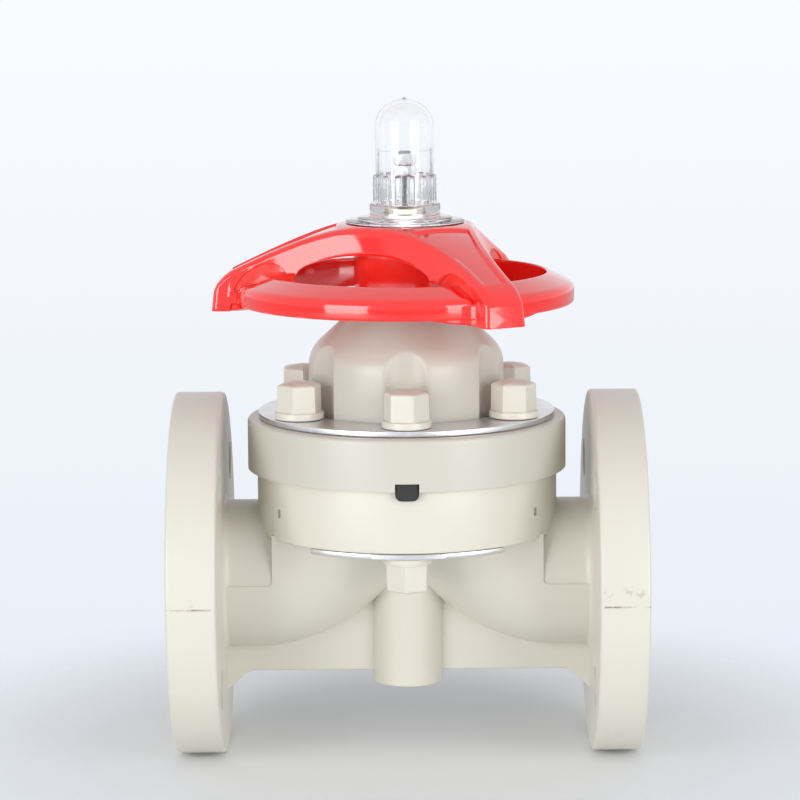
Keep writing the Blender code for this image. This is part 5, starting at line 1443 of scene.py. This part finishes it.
def make_world():
    """Even studio light. Straight, mirror and glass rays see a white backdrop that greys near the floor."""
    world = bpy.data.worlds.new("studio")
    bpy.context.scene.world = world
    world.use_nodes = True
    tree = world.node_tree
    direction = tree.nodes.new("ShaderNodeTexCoord").outputs["Generated"]
    split = tree.nodes.new("ShaderNodeSeparateXYZ")
    tree.links.new(direction, split.inputs[0])
    share = ranged(tree, split.outputs["Z"], 0.0, 1.0, BACKDROP_LOW, BACKDROP_HIGH)
    seen = background(tree, BACKDROP_WHITE, 1.0)
    shade = mixed(tree, share, BACKDROP_GREY, BACKDROP_WHITE)
    tree.links.new(shade, seen.node.inputs["Color"])
    lit = background(tree, WORLD_COLOUR, WORLD_LIGHT)
    tree.links.new(seen_background(tree, seen, lit), tree.nodes["World Output"].inputs["Surface"])


def make_floor():
    """Pale floor under the valve, which fades into the backdrop away from it."""
    size = FLOOR_HALF
    grid = np.array([[(-size, -size, 0), (size, -size, 0)], [(-size, size, 0), (size, size, 0)]])
    data = Shell().add(grid, wrap_columns=False).mesh("floor")
    floor = bpy.data.objects.new("floor", data)
    bpy.context.scene.collection.objects.link(floor)
    look, tree, shader = blank("pale_floor", FLOOR_COLOUR, 0.6)
    shader.inputs["Specular IOR Level"].default_value = 0.2
    place = tree.nodes.new("ShaderNodeTexCoord").outputs["Object"]
    length = tree.nodes.new("ShaderNodeVectorMath")
    length.operation = "LENGTH"
    tree.links.new(place, length.inputs[0])
    fade = ranged(tree, length.outputs["Value"], 0.0, 1.0, *FLOOR_FADE, "SMOOTHSTEP")
    camera = tree.nodes.new("ShaderNodeLightPath").outputs["Is Camera Ray"]
    gone = math_node(tree, "MULTIPLY", fade, camera)
    clear = tree.nodes.new("ShaderNodeBsdfTransparent")
    both = tree.nodes.new("ShaderNodeMixShader")
    tree.links.new(gone, both.inputs[0])
    tree.links.new(shader.outputs[0], both.inputs[1])
    tree.links.new(clear.outputs[0], both.inputs[2])
    tree.links.new(both.outputs[0], tree.nodes["Material Output"].inputs["Surface"])
    data.materials.append(look)


def make_camera():
    """Camera at the photograph's place: aim, distance, elevation, azimuth and a slight roll."""
    a, e, roll = CAMERA_AZIMUTH, CAMERA_ELEVATION, CAMERA_ROLL
    forward = Vector((math.sin(a) * math.cos(e), math.cos(a) * math.cos(e), -math.sin(e)))
    level = Vector((math.cos(a), -math.sin(a), 0))
    upright = level.cross(forward)
    right = level * math.cos(roll) + upright * math.sin(roll)
    up = upright * math.cos(roll) - level * math.sin(roll)
    place = CAMERA_AIM - forward * CAMERA_DISTANCE
    lens = bpy.data.cameras.new("camera")
    lens.sensor_width = SENSOR
    lens.lens = FOCAL_PIXELS / IMAGE_SIZE * SENSOR
    lens.clip_start = 0.05
    camera = bpy.data.objects.new("camera", lens)
    bpy.context.scene.collection.objects.link(camera)
    camera.matrix_world = Matrix((right, up, -forward)).transposed().to_4x4()
    camera.location = place
    bpy.context.scene.camera = camera


def main():
    """Materials first, then the pieces, then the stage."""
    bpy.context.scene.view_settings.view_transform = "Standard"
    moulded, parting, wear_and_highlight = moulded_surface(), parting_line(), edge_wear_and_highlight()
    grey = grey_plastic("grey_plastic", moulded)
    body_grey = grey_plastic("body_plastic", moulded, 1.0, parting)
    bonnet_grey = grey_plastic("bonnet_plastic", moulded, BONNET_SHADE)
    red = red_plastic(moulded, wear_and_highlight)
    zinc = zinc_steel("zinc_steel", moulded, wear_and_highlight, ZINC_COLOUR, 0.3)
    thread = zinc_steel("thread_steel", moulded, wear_and_highlight, THREAD_COLOUR, 0.22)
    brass = zinc_steel("brass", moulded, wear_and_highlight, BRASS_COLOUR, 0.3)
    rubber = black_rubber(moulded)
    clear = clear_plastic(moulded)
    dress_hidden_nodes({
        "grey_plastic": grey,
        "red_plastic": red,
        "zinc_steel": zinc,
        "brass": brass,
        "black_rubber": rubber,
        "clear_plastic": clear,
    })
    make_body(body_grey)
    make_bonnet(bonnet_grey)
    make_plates(zinc)
    make_caps(grey)
    make_nuts(zinc)
    make_rod(thread)
    make_handwheel(red)
    make_cover(clear)
    make_diaphragm(rubber)
    make_tab(rubber)
    make_seal(rubber)
    make_world()
    make_floor()
    for lamp in LAMPS:
        soft_light(*lamp)
    make_camera()


main()
